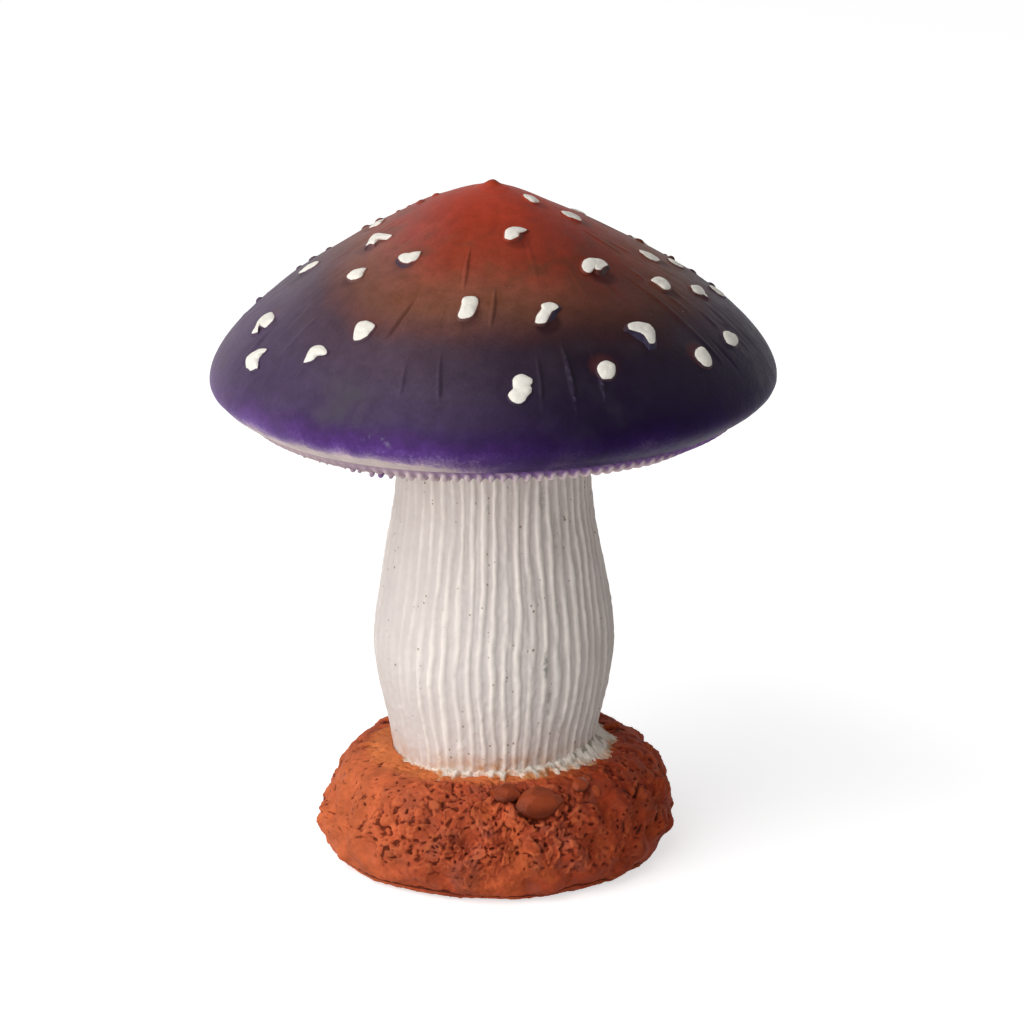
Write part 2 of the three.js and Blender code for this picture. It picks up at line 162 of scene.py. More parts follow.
def soft_noise(points: Array, size: float, seed: int, layers: int = 1) -> Array:
    """Smooth seeded noise in space.

    Args:
        points: Places, three numbers in the last axis.
        size: Width of the broadest swells, in the same unit.
        seed: Picks one of many such fields.
        layers: How many finer fields are added, each half as wide and half as strong.

    Returns:
        Values from about -1 to 1.
    """
    total = np.zeros(points.shape[:-1])
    strength = 1.0
    for layer in range(layers):
        scaled = points / size * 2**layer
        corner = np.floor(scaled)
        share = scaled - corner
        share = share * share * (3 - 2 * share)
        for step in np.ndindex(2, 2, 2):
            weight = np.prod(np.where(np.array(step) == 1, share, 1 - share), axis=-1)
            total += strength * weight * (2 * hashed(corner + step, seed + layer) - 1)
        strength /= 2
    return total


def smoothed(values: Array, across: int, along: int) -> Array:
    """A blurred copy of a closed grid of values.

    Args:
        values: Rows of values that close on themselves.
        across: Times that each row is blurred.
        along: Times that each column is blurred.

    Returns:
        The blurred values.
    """
    for _ in range(across):
        values = (np.roll(values, 1, axis=1) + 2 * values + np.roll(values, -1, axis=1)) / 4
    for _ in range(along):
        padded = np.pad(values, ((1, 1), (0, 0)), mode="edge")
        values = (padded[:-2] + 2 * values + padded[2:]) / 4
    return values


def spot(radius: Array, angle: Array, height: Array) -> Array:
    """Points at a radius and height, with the angle measured from the front towards +X."""
    radius, angle, height = np.broadcast_arrays(radius, angle, height)
    return np.stack((radius * np.sin(angle), -radius * np.cos(angle), height), axis=-1)


def bezier(corners: tuple[tuple[float, float], ...], count: int) -> Array:
    """Points along a cubic curve.

    Args:
        corners: Its four control points, as radius and height.
        count: How many points to give.

    Returns:
        The points, one a row.
    """
    share = np.linspace(0, 1, count)[:, None]
    start, first, second, end = (np.array(corner) for corner in corners)
    away = 1 - share
    return away**3 * start + 3 * away**2 * share * first + 3 * away * share**2 * second + share**3 * end


@dataclass(frozen=True)
class Outline:
    """A turned outline as points of radius and height, read by the length along it in millimetres."""

    points: Array

    @cached_property
    def lengths(self) -> Array:
        """Length from the start to each point."""
        steps = np.hypot(*np.diff(self.points, axis=0).T)
        return np.concatenate(([0.0], np.cumsum(steps)))

    def at(self, length: Array) -> tuple[Array, Array]:
        """Radius and height at a length."""
        radius = np.interp(length, self.lengths, self.points[:, 0])
        return radius, np.interp(length, self.lengths, self.points[:, 1])

    def outward(self, length: Array) -> tuple[Array, Array]:
        """Radial and upward share of the direction to the left of the way along.

        Args:
            length: Where to read it.

        Returns:
            The two shares of a unit direction.
        """
        reach = 0.4
        near = self.at(np.clip(length - reach, 0, self.lengths[-1]))
        far = self.at(np.clip(length + reach, 0, self.lengths[-1]))
        along_radius, along_height = far[0] - near[0], far[1] - near[1]
        size = np.hypot(along_radius, along_height)
        return -along_height / size, along_radius / size

    def nearest(self, radius: Array, height: Array) -> Array:
        """Length at the point of the outline nearest to each place."""
        gap = np.hypot(radius[:, None] - self.points[:, 0], height[:, None] - self.points[:, 1])
        return self.lengths[np.argmin(gap, axis=1)]


@dataclass(frozen=True)
class Stamp:
    """A dent, bump or patch on a turned surface, in degrees and millimetres."""

    around: float
    along: float
    long: float
    wide: float
    lean: float
    rise: float


def stamp_list(*rows: tuple[float, ...]) -> list[Stamp]:
    """Stamps from rows of their values."""
    return [Stamp(*row) for row in rows]


@dataclass(frozen=True)
class TurnedGrid:
    """A grid round the axis: rows by length along an outline, columns by angle."""

    outline: Outline
    rows: Array
    angles: Array

    @cached_property
    def radii(self) -> Array:
        """Radius of each row."""
        return self.outline.at(self.rows)[0]

    @cached_property
    def degrees(self) -> Array:
        """Degrees of each column from the front."""
        return np.degrees(wrapped(self.angles))

    @cached_property
    def places(self) -> Array:
        """The grid's points on the bare outline."""
        radius, height = self.outline.at(self.rows)
        return spot(radius[:, None], self.angles, height[:, None])

    def lifted(self, lift: Array, sign: float = 1.0) -> Array:
        """Points moved off the outline.

        Args:
            lift: How far each point moves.
            sign: 1 where the outside lies to the left of the way along the outline, otherwise -1.

        Returns:
            The moved points.
        """
        radius, height = self.outline.at(self.rows)
        out, up = self.outline.outward(self.rows)
        return spot(
            radius[:, None] + sign * out[:, None] * lift,
            self.angles,
            height[:, None] + sign * up[:, None] * lift,
        )

    def stamped(self, stamps: list[Stamp], sharp: float = 1.0) -> Array:
        """Adds up stamps over the grid.

        Args:
            stamps: Their places in degrees and millimetres, and their sizes.
            sharp: Above 1 for flat floors and steep walls.

        Returns:
            The rise at each point.
        """
        field = np.zeros((len(self.rows), len(self.angles)))
        for stamp in stamps:
            reach = max(stamp.long, stamp.wide)
            radius = max(float(self.outline.at(stamp.along)[0]), 1.0)
            turned = wrapped(self.angles - math.radians(stamp.around)) * radius
            rows = np.nonzero(np.abs(self.rows - stamp.along) < reach)[0]
            columns = np.nonzero(np.abs(turned) < reach)[0]
            aside = turned[columns]
            down = (self.rows[rows] - stamp.along)[:, None]
            lean = math.radians(stamp.lean)
            lengthwise = (down * math.cos(lean) + aside * math.sin(lean)) / stamp.long
            across = (aside * math.cos(lean) - down * math.sin(lean)) / stamp.wide
            inside = np.clip(1 - lengthwise**2 - across**2, 0, 1)
            shape = np.clip(inside * sharp, 0, 1)
            field[np.ix_(rows, columns)] += stamp.rise * shape * shape * (3 - 2 * shape)
        return field


# Meshes

def sheet_mesh(name: str, grid: Array, poles: bool = True) -> Mesh:
    """A closed mesh from rings of points.

    Args:
        name: Name of the mesh.
        grid: Rings, points round each ring, and three millimetre places.
        poles: True where the first and last ring shrink to a point; otherwise the rings close on each other.

    Returns:
        The mesh, smooth and in metres. Its points are the rings in order, with a pole as one point.
    """
    rings, count = grid.shape[:2]
    column = np.arange(count)
    beside = (column + 1) % count
    if poles:
        points = np.vstack((grid[:1, 0], grid[1:-1].reshape(-1, 3), grid[-1:, 0]))
        starts = 1 + np.arange(rings - 2) * count
        pairs = zip(starts[:-1], starts[1:])
    else:
        points = grid.reshape(-1, 3)
        starts = np.arange(rings) * count
        pairs = zip(starts, np.roll(starts, -1))
    strips = [(low + column, low + beside, high + beside, high + column) for low, high in pairs]
    if poles:
        strips.append((0 * column, starts[0] + beside, starts[0] + column))
        strips.append((starts[-1] + column, starts[-1] + beside, 0 * column + len(points) - 1))
    faces = [corners for strip in strips for corners in np.stack(strip, axis=1).tolist()]
    mesh = bpy.data.meshes.new(name)
    mesh.from_pydata((points * MM).tolist(), [], faces)
    mesh.shade_smooth()
    mesh.update()
    return mesh


def ring_values(values: Array) -> Array:
    """Values of a grid with poles, in the order of its mesh's points."""
    return np.concatenate((values[:1, 0], values[1:-1].ravel(), values[-1:, 0]))


def mark(mesh: Mesh, name: str, values: Array) -> None:
    """Keeps one number for each point of a mesh, in their order, for its material to read."""
    layer = mesh.attributes.new(name, "FLOAT", "POINT")
    layer.data.foreach_set("value", np.ascontiguousarray(values, dtype=np.float32).ravel())


def new_piece(name: str, mesh: Mesh, material: Material) -> Piece:
    """Links a mesh into the scene as a piece.

    Args:
        name: The piece's name.
        mesh: Its mesh, placed in the frame.
        material: Its finish.

    Returns:
        The new object.
    """
    piece = bpy.data.objects.new(name, mesh)
    bpy.context.scene.collection.objects.link(piece)
    mesh.materials.append(material)
    return piece


def scattered(name: str, points: Array, size: Array, out: Array, material: Material) -> Piece:
    """Loose points for lumps to grow on.

    Args:
        name: The piece's name.
        points: Their places in millimetres.
        size: The radius of each lump in millimetres.
        out: The way that each lump faces.
        material: The finish.

    Returns:
        The new object.
    """
    mesh = bpy.data.meshes.new(name)
    mesh.from_pydata((points * MM).tolist(), [], [])
    mark(mesh, "size", size * MM)
    layer = mesh.attributes.new("out", "FLOAT_VECTOR", "POINT")
    layer.data.foreach_set("vector", out.astype(np.float32).ravel())
    return new_piece(name, mesh, material)


def hand_over(piece: Piece, slot: Slot, *nodes: str) -> None:
    """Puts a finished piece on the body and hides what it stands for.

    Args:
        piece: The finished piece.
        slot: The record's material slot; not used.
        nodes: The CAD nodes that the piece stands for.
    """
    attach(piece, "root")
    if nodes:
        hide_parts(*nodes)
    stands_for = ", ".join(nodes) or "nothing"
    LOG.info("%s: %d faces, stands for %s", piece.name, len(piece.data.polygons), stands_for)


def node_points(name: str) -> Array:
    """The points of a CAD node in millimetres.

    Args:
        name: The node.

    Returns:
        The points, one a row.
    """
    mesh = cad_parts[name].data
    flat = np.empty(3 * len(mesh.vertices), np.float32)
    mesh.vertices.foreach_get("co", flat)
    return flat.reshape(-1, 3).astype(float) / MM


def node_box(name: str) -> tuple[Array, Array]:
    """The lowest and highest corner of a CAD node in millimetres."""
    low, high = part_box(name)
    return np.array(low) / MM, np.array(high) / MM


# Node trees

class NodeBench:
    """Adds nodes to one tree and joins them."""

    def __init__(self, tree: Tree) -> None:
        """Keeps the tree."""
        self.tree = tree

    def add(self, kind: str, inputs: dict[str | int, object] | None = None, **settings: object) -> Node:
        """Adds one node.

        Args:
            kind: Its type.
            inputs: For each socket, another node's socket to join it to, or a plain value.
            settings: The node's own settings.

        Returns:
            The node.
        """
        node = self.tree.nodes.new(kind)
        for name, value in settings.items():
            setattr(node, name, value)
        for key, value in (inputs or {}).items():
            if isinstance(value, Socket):
                self.tree.links.new(value, node.inputs[key])
            else:
                node.inputs[key].default_value = value
        return node

    def sum(self, operation: str, first: object, second: object = 0.0) -> Socket:
        """A Math node's result."""
        return self.add("ShaderNodeMath", {0: first, 1: second}, operation=operation).outputs[0]

    def times(self, first: object, second: object) -> Socket:
        """A product."""
        return self.sum("MULTIPLY", first, second)

    def scaled(self, place: Socket, share: object) -> Socket:
        """A place stretched along the axes."""
        return self.add("ShaderNodeVectorMath", {0: place, 1: share}, operation="MULTIPLY").outputs[0]

    def span(self, value: Socket, low: object, high: object, start: float = 0.0, end: float = 1.0) -> Socket:
        """A value moved smoothly from start at low to end at high."""
        inputs = {"Value": value, "From Min": low, "From Max": high, "To Min": start, "To Max": end}
        return self.add("ShaderNodeMapRange", inputs, interpolation_type="SMOOTHSTEP").outputs["Result"]

    def blend(self, share: object, under: object, over: object, mode: str = "MIX") -> Socket:
        """A share of one colour or socket laid over another, in a mode of the Mix node."""
        inputs = {0: share, 6: full(under), 7: full(over)}
        return self.add("ShaderNodeMix", inputs, data_type="RGBA", blend_type=mode).outputs[2]

    def noise(self, place: Socket, scale: object, detail: float) -> Socket:
        """Noise from 0 to 1 at a place."""
        inputs = {"Vector": place, "Scale": scale, "Detail": detail}
        return self.add("ShaderNodeTexNoise", inputs).outputs[0]

    def attribute(self, name: str) -> Socket:
        """A number kept on the mesh."""
        return self.add("ShaderNodeAttribute", attribute_name=name).outputs["Fac"]

    def named(self, name: str, kind: str = "FLOAT") -> Socket:
        """A value kept on the mesh, for a Geometry Nodes tree."""
        return self.add("GeometryNodeInputNamedAttribute", {"Name": name}, data_type=kind).outputs[0]

    def resized(self, vector: Socket, scale: Socket) -> Socket:
        """A vector times a number."""
        return self.add("ShaderNodeVectorMath", {0: vector, "Scale": scale}, operation="SCALE").outputs[0]

    def layered(self, base: object, *layers: tuple[object, ...]) -> Socket:
        """Lays colours over a base, each with its mask before it and any mode of the Mix node after it.

        Args:
            base: The lowest colour.
            layers: For each layer a mask, a colour and, if it isn't plain, a mode.

        Returns:
            The colour on top.
        """
        for share, colour, *mode in layers:
            base = self.blend(share, base, colour, *mode)
        return base

    def toned(self, colour: object, grain: Node) -> Socket:
        """A colour with the tone of a grain over it."""
        return self.blend(1.0, colour, grain.outputs["Tone"], "MULTIPLY")

    def effect(self, group: Tree, inputs: dict[str, object]) -> Node:
        """A shared effect with its own values."""
        return self.add("ShaderNodeGroup", inputs, node_tree=group)


def full(colour: object) -> object:
    """A colour with its fourth number, or a socket as it is."""
    return (*colour, 1.0) if isinstance(colour, tuple) else colour


def new_group(name: str, inputs: dict[str, object], outputs: dict[str, Kind]) -> NodeBench:
    """Starts a node group with named sockets, for geometry where it has such an input.

    Args:
        name: The group's name.
        inputs: Each input's kind, or its first value where it is a number.
        outputs: Each output's kind.

    Returns:
        A bench on the new group.
    """
    tree = bpy.data.node_groups.new(name, "GeometryNodeTree" if "Geometry" in inputs else "ShaderNodeTree")
    for label, first in inputs.items():
        number = Kind.WHOLE if isinstance(first, int) else Kind.NUMBER
        kind = first if isinstance(first, Kind) else number
        made = tree.interface.new_socket(label, in_out="INPUT", socket_type=kind.value)
        if kind is not first:
            made.default_value = first
    for label, kind in outputs.items():
        tree.interface.new_socket(label, in_out="OUTPUT", socket_type=kind.value)
    return NodeBench(tree)


# The marks on the cap's meshes that its paint reads
CAP_MARKS = ("Fade", "Halo", "Dark_Paint_And_Shade", "Painted_Sheen", "Smudge", "Scuff")


class SharedEffects:
    """The shader node groups that more than one finish uses."""

    def __init__(self) -> None:
        """Builds each group once."""
        self.specks = self._specks()
        self.grain = self._grain()
        self.blotches = self._blotches()
        self.cap_colour = self._cap_colour()

    @staticmethod
    def _specks() -> Tree:
        """Small scattered round specks, for pinholes and dust.

        Returns:
            The group.
        """
        inputs = {"Place": Kind.VECTOR, "Scale": 500.0, "Radius": 0.2, "Share": 0.3}
        bench = new_group("specks", inputs, {"Mask": Kind.NUMBER})
        given = bench.add("NodeGroupInput").outputs
        cells = bench.add("ShaderNodeTexVoronoi", {"Vector": given["Place"], "Scale": given["Scale"]})
        pick = bench.add("ShaderNodeSeparateColor", {0: cells.outputs["Color"]})
        kept = bench.sum("LESS_THAN", pick.outputs["Red"], given["Share"])
        size = bench.times(given["Radius"], bench.span(pick.outputs["Green"], 0, 1, 0.45, 1.0))
        ratio = bench.sum("DIVIDE", cells.outputs["Distance"], size)
        bench.add("NodeGroupOutput", {"Mask": bench.times(kept, bench.span(ratio, 1.0, 0.5))})
        return bench.tree

    @staticmethod
    def _grain() -> Tree:
        """The fine unevenness of brushed or sprayed paint.

        Returns:
            The group.
        """
        inputs = {"Place": Kind.VECTOR, "Scale": 1000.0, "Strength": 0.2}
        bench = new_group("grain", inputs, {"Tone": Kind.NUMBER, "Height": Kind.NUMBER})
        given = bench.add("NodeGroupInput").outputs
        fine = bench.noise(given["Place"], given["Scale"], 3.0)
        broad = bench.noise(given["Place"], bench.times(given["Scale"], 0.22), 2.0)
        both = bench.sum("SUBTRACT", bench.sum("ADD", fine, broad), 1.0)
        tone = bench.sum("ADD", bench.times(both, given["Strength"]), 1.0)
        bench.add("NodeGroupOutput", {"Tone": tone, "Height": bench.times(both, 0.5)})
        return bench.tree

    @staticmethod
    def _blotches() -> Tree:
        """Soft patches, for stains and changes of tone.

        Returns:
            The group.
        """
        inputs = {"Place": Kind.VECTOR, "Scale": 80.0, "Low": 0.5, "High": 0.7}
        bench = new_group("blotches", inputs, {"Mask": Kind.NUMBER})
        given = bench.add("NodeGroupInput").outputs
        swell = bench.noise(given["Place"], given["Scale"], 4.0)
        bench.add("NodeGroupOutput", {"Mask": bench.span(swell, given["Low"], given["High"])})
        return bench.tree

    def _cap_colour(self) -> Tree:
        """The sprayed fade of the cap, from red at the crown through brown and slate to violet at the rim.

        Returns:
            The group.
        """
        inputs = {"Place": Kind.VECTOR, **dict.fromkeys(CAP_MARKS, 0.0)}
        outputs = {"Color": Kind.COLOUR, "Height": Kind.NUMBER, "Tone": Kind.NUMBER}
        bench = new_group("cap_colour", inputs, outputs)
        given = bench.add("NodeGroupInput").outputs
        place = given["Place"]
        paint = CapPaint()
        level = bench.scaled(place, (1.0, 1.0, 0.0))
        heading = bench.add("ShaderNodeVectorMath", {0: level}, operation="NORMALIZE").outputs[0]
        hairs = bench.sum("SUBTRACT", bench.noise(heading, 85.0, 4.0), 0.5)
        drift = bench.sum("SUBTRACT", bench.noise(place, 120.0, 4.0), 0.5)
        spray = bench.sum("SUBTRACT", bench.noise(place, 1600.0, 2.0), 0.5)
        moved = bench.sum("ADD", given["Fade"], bench.times(drift, 0.07))
        moved = bench.sum("ADD", moved, bench.times(spray, 0.03))
        fringe = bench.times(hairs, bench.span(given["Fade"], 0.88, 0.95, 0.0, 0.03))
        moved = bench.sum("ADD", moved, fringe)
        ramp = bench.add("ShaderNodeValToRGB", {0: moved})
        stops = ramp.color_ramp.elements
        for _ in range(len(paint.fade) - 2):
            stops.new(0.5)
        for stop, (share, colour) in zip(stops, paint.fade):
            stop.position = share
            stop.color = full(colour)
        grain = bench.effect(self.grain, {"Place": place, "Scale": 1500.0, "Strength": 0.35})
        patch = bench.effect(self.blotches, {"Place": place, "Scale": 55.0, "Low": 0.52, "High": 0.72})
        stroke = bench.effect(self.blotches, {"Place": place, "Scale": 230.0, "Low": 0.44, "High": 0.70})
        red = bench.times(bench.span(moved, 0.16, 0.32), bench.span(moved, 0.54, 0.46))
        brushed = bench.times(bench.times(stroke.outputs["Mask"], red), 0.6)
        mottle = bench.effect(self.grain, {"Place": place, "Scale": 420.0, "Strength": 0.42})
        purple = bench.span(moved, 0.52, 0.62)
        dull = bench.times(bench.times(patch.outputs["Mask"], purple), 0.2)
        soiled = bench.times(given["Smudge"], bench.span(bench.noise(place, 210.0, 4.0), 0.35, 0.68))
        dust = bench.effect(self.specks, {"Place": place, "Scale": 330.0, "Radius": 0.075, "Share": 0.22})
        worn = bench.times(given["Scuff"], bench.span(bench.noise(place, 700.0, 4.0), 0.45, 0.7))
        dusted = bench.layered(
            ramp.outputs[0],
            (brushed, paint.rust),
            # Darker paint and painted shade on the right side, with painted shadows below the warts
            (given["Dark_Paint_And_Shade"], paint.dark_paint_and_shade, "MULTIPLY"),
            # A painted sheen on the left
            (given["Painted_Sheen"], paint.painted_sheen),
            (1.0, mottle.outputs["Tone"], "MULTIPLY"),
            (1.0, grain.outputs["Tone"], "MULTIPLY"),
            (bench.sum("MAXIMUM", dull, soiled), paint.smudge),
            (given["Halo"], paint.halo),
            (worn, paint.scuff),
            (bench.times(dust.outputs["Mask"], 0.5), paint.dust),
        )
        found = {"Color": dusted, "Height": grain.outputs["Height"], "Tone": grain.outputs["Tone"]}
        bench.add("NodeGroupOutput", found)
        return bench.tree


# Finishes

# Metres that the bump of paint and the coarser one of soil stand for
PAINT_BUMP = 0.0004
SOIL_BUMP = 0.0005


class FinishBench(NodeBench):
    """Builds one material on a Principled shader."""

    def __init__(
        self, name: str, roughness: float, specular: float, effects: SharedEffects | None = None
    ) -> None:
        """Starts the material.

        Args:
            name: The material's name.
            roughness: The shader's own roughness.
            specular: The shader's own specular level.
            effects: The shared effects, for a finish that uses them.
        """
        self.material = bpy.data.materials.new(name)
        self.material.use_nodes = True
        super().__init__(self.material.node_tree)
        self.effects = effects
        self.shader = self.tree.nodes["Principled BSDF"]
        self.shader.inputs["Roughness"].default_value = roughness
        self.shader.inputs["Specular IOR Level"].default_value = specular

    @cached_property
    def place(self) -> Socket:
        """The place on the object."""
        return self.add("ShaderNodeTexCoord").outputs["Object"]

    def grain(self, scale: float, strength: float) -> Node:
        """The shared grain, with its tone and height."""
        return self.effect(self.effects.grain, {"Place": self.place, "Scale": scale, "Strength": strength})

    def patches(self, scale: float, low: float, high: float) -> Socket:
        """The mask of the shared soft patches."""
        inputs = {"Place": self.place, "Scale": scale, "Low": low, "High": high}
        return self.effect(self.effects.blotches, inputs).outputs["Mask"]

    def specks(self, scale: float, radius: float, share: float) -> Socket:
        """The mask of the shared specks."""
        inputs = {"Place": self.place, "Scale": scale, "Radius": radius, "Share": share}
        return self.effect(self.effects.specks, inputs).outputs["Mask"]

    def finished(
        self, colour: Socket, height: Socket, strength: float, depth: float = PAINT_BUMP
    ) -> Material:
        """Joins the colour and a bump to the shader.

        Args:
            colour: The colour.
            height: The height that the bump shows.
            strength: How strongly it shows.
            depth: Metres that a height of 1 stands for.

        Returns:
            The material.
        """
        bump = self.add("ShaderNodeBump", {"Strength": strength, "Distance": depth, "Height": height})
        self.tree.links.new(colour, self.shader.inputs["Base Color"])
        self.tree.links.new(bump.outputs[0], self.shader.inputs["Normal"])
        return self.material


@dataclass(frozen=True)
class CapPaint:
    """Satin paint, sprayed in a fade; the shares run from the crown to the lip."""

    fade: tuple[tuple[float, Colour], ...] = (
        (0.00, (0.440, 0.054, 0.030)),
        (0.16, (0.350, 0.040, 0.018)),
        (0.30, (0.278, 0.042, 0.020)),
        (0.42, (0.212, 0.066, 0.040)),
        (0.50, (0.165, 0.064, 0.042)),
        (0.56, (0.122, 0.051, 0.048)),
        (0.62, (0.074, 0.044, 0.062)),
        (0.74, (0.070, 0.047, 0.082)),
        (0.83, (0.060, 0.037, 0.090)),
        (0.865, (0.054, 0.024, 0.103)),
        (0.89, (0.074, 0.028, 0.153)),
        (0.91, (0.120, 0.055, 0.240)),
        (0.93, (0.330, 0.220, 0.420)),
        (0.945, (0.660, 0.540, 0.540)),
        (1.00, (0.720, 0.610, 0.560)),
    )
    # Multiplies in the darker paint and painted shade of the right side, and the painted shadows below the
    # warts
    dark_paint_and_shade: Colour = (0.207, 0.172, 0.275)
    # The colour of the painted sheen on the left
    painted_sheen: Colour = (0.480, 0.370, 0.430)
    rust: Colour = (0.150, 0.050, 0.024)
    smudge: Colour = (0.070, 0.062, 0.074)
    halo: Colour = (0.240, 0.060, 0.030)
    dust: Colour = (0.420, 0.380, 0.340)
    scuff: Colour = (0.190, 0.150, 0.260)
    roughness: float = 0.46
    specular: float = 0.05

    def colour(self, bench: FinishBench) -> Node:
        """Adds the cap's colour, which reads the fade and the marks kept on a mesh."""
        given = {label: bench.attribute(label.lower()) for label in CAP_MARKS}
        return bench.effect(bench.effects.cap_colour, {"Place": bench.place, **given})

    def material(self, effects: SharedEffects) -> Material:
        """Builds the finish of the cap.

        Args:
            effects: The shared effects.

        Returns:
            The material.
        """
        bench = FinishBench("cap_paint", self.roughness, self.specular, effects)
        paint = self.colour(bench).outputs
        rough = bench.span(paint["Tone"], 0.8, 1.2, self.roughness - 0.06, self.roughness + 0.08)
        bench.tree.links.new(rough, bench.shader.inputs["Roughness"])
        return bench.finished(paint["Color"], paint["Height"], 0.35)


@dataclass(frozen=True)
class WartPaint:
    """Thick white paint dabbed on the bumps, over the cap's own paint, with the bare undersides darkened as
    painted shade.
    """

    white: Colour = (0.860, 0.815, 0.735)
    grey: Colour = (0.640, 0.635, 0.600)
    # Painted shade on the bare undersides: cool below the violet, warm below the red
    under: Colour = (0.022, 0.017, 0.040)
    underside_shade_warm: Colour = (0.036, 0.014, 0.012)
    roughness: float = 0.55
    specular: float = 0.15

    def material(self, effects: SharedEffects) -> Material:
        """Builds the finish of the warts, which reads the paint, fade and painted underside shade kept on
        their meshes.

        Args:
            effects: The shared effects.

        Returns:
            The material.
        """
        bench = FinishBench("wart_white", self.roughness, self.specular, effects)
        cap = CapPaint().colour(bench)
        # The underside's painted shade, warm in the red zone and cool lower down
        lee = bench.blend(bench.span(bench.attribute("fade"), 0.3, 0.42), self.underside_shade_warm, self.under)
        below = bench.blend(bench.attribute("under"), cap.outputs["Color"], lee)
        grain = bench.grain(1400.0, 0.14)
        mottled = bench.blend(bench.times(bench.patches(420.0, 0.5, 0.8), 0.5), self.white, self.grey)
        ragged = bench.sum("SUBTRACT", bench.noise(bench.place, 1500.0, 3.0), 0.5)
        edge = bench.sum("ADD", bench.attribute("paint"), bench.times(ragged, 0.22))
        colour = bench.blend(bench.span(edge, -0.06, 0.06), below, bench.toned(mottled, grain))
        return bench.finished(colour, grain.outputs["Height"], 0.4)


@dataclass(frozen=True)
class GillPaint:
    """Cream resin with violet overspray from the rim, and gill valleys painted darker as shade."""

    # The crest is the resin's tone; the valley is painted shade between the gills
    crest: Colour = (0.800, 0.655, 0.630)
    valley_shade: Colour = (0.520, 0.390, 0.410)
    overspray: Colour = (0.190, 0.095, 0.280)
    roughness: float = 0.65
    specular: float = 0.15

    def material(self, effects: SharedEffects) -> Material:
        """Builds the finish of the gills, which reads the ridge and overspray kept on the mesh.

        Args:
            effects: The shared effects.

        Returns:
            The material.
        """
        bench = FinishBench("gill_white", self.roughness, self.specular, effects)
        grain = bench.grain(900.0, 0.25)
        # Painted shade in the valleys between the gills
        ridge = bench.span(bench.attribute("ridge"), 0.05, 0.75)
        base = bench.blend(ridge, self.valley_shade, self.crest)
        spray = bench.times(bench.attribute("overspray"), bench.patches(420.0, 0.15, 0.5))
        spray = bench.times(spray, bench.span(ridge, 0.2, 1.0, 1.0, 0.35))
        tinted = bench.blend(spray, base, self.overspray)
        return bench.finished(bench.toned(tinted, grain), grain.outputs["Height"], 0.4)


@dataclass(frozen=True)
class StemPaint:
    """Chalky cream resin: pale rib crests over valleys painted warm grey as shade, with pinholes and stains.
    """

    # The crest is the resin's tone; the valley is painted shade between the ribs
    crest: Colour = (0.880, 0.810, 0.745)
    valley_shade: Colour = (0.690, 0.620, 0.585)
    # Painted shade on the right side and on the upper stem under the cap
    painted_shade_tone: Colour = (0.640, 0.560, 0.510)
    stain: Colour = (0.250, 0.245, 0.215)
    pinhole: Colour = (0.280, 0.180, 0.090)
    foot: Colour = (0.540, 0.265, 0.110)
    overspray: Colour = (0.450, 0.300, 0.480)
    roughness: float = 0.75
    specular: float = 0.08

    def material(self, effects: SharedEffects) -> Material:
        """Builds the finish of the stem, which reads the ridge, stain, foot and overspray on its mesh.

        Args:
            effects: The shared effects.

        Returns:
            The material.
        """
        bench = FinishBench("stem_white", self.roughness, self.specular, effects)
        grain = bench.grain(800.0, 0.12)
        # Painted shade in the valleys between the ribs
        ridge = bench.span(bench.attribute("ridge"), 0.05, 0.6)
        across, _, upward = bench.add("ShaderNodeSeparateXYZ", {0: bench.place}).outputs
        # Painted shade in patches on the right side and on the upper stem under the cap
        right = bench.span(across, -0.004, 0.022, 0.0, 0.8)
        shade_side_and_top = bench.sum("MAXIMUM", right, bench.span(upward, 0.06, 0.09))
        tall = bench.scaled(bench.place, (1.0, 1.0, 0.06))
        streak = bench.span(bench.noise(tall, 320.0, 2.0), 0.49, 0.57)
        dotted = bench.times(bench.times(bench.specks(800.0, 0.28, 0.5), streak), 0.8)
        ragged = bench.span(bench.noise(bench.place, 900.0, 3.0), 0.3, 0.7)
        patchy = bench.span(bench.noise(bench.place, 420.0, 4.0), 0.3, 0.65)
        sprayed = bench.layered(
            self.valley_shade,
            (bench.times(shade_side_and_top, bench.patches(95.0, 0.35, 0.7)), self.painted_shade_tone),
            (ridge, self.crest),
            (bench.times(bench.attribute("stain"), ragged), self.stain),
            (dotted, self.pinhole),
            (bench.times(bench.attribute("foot"), patchy), self.foot),
            (bench.attribute("overspray"), self.overspray),
        )
        depth = bench.sum("SUBTRACT", grain.outputs["Height"], dotted)
        return bench.finished(bench.toned(sprayed, grain), depth, 0.5)


@dataclass(frozen=True)
class FillerPaint:
    """Crumbly off-white filler, stained orange at its edge and grey-green in its pits."""

    white: Colour = (0.800, 0.730, 0.650)
    pit: Colour = (0.250, 0.235, 0.180)
    rust: Colour = (0.560, 0.240, 0.090)
    roughness: float = 0.85
    specular: float = 0.1

    def material(self, effects: SharedEffects) -> Material:
        """Builds the finish of the filler, which reads the edge and pits kept on its mesh.

        Args:
            effects: The shared effects.

        Returns:
            The material.
        """
        bench = FinishBench("filler_white", self.roughness, self.specular, effects)
        grain = bench.grain(900.0, 0.25)
        patchy = bench.span(bench.noise(bench.place, 380.0, 4.0), 0.25, 0.6)
        stained = bench.layered(
            self.white,
            (bench.attribute("pit"), self.pit),
            (bench.times(bench.attribute("edge"), patchy), self.rust),
        )
        return bench.finished(bench.toned(stained, grain), grain.outputs["Height"], 0.7, SOIL_BUMP)


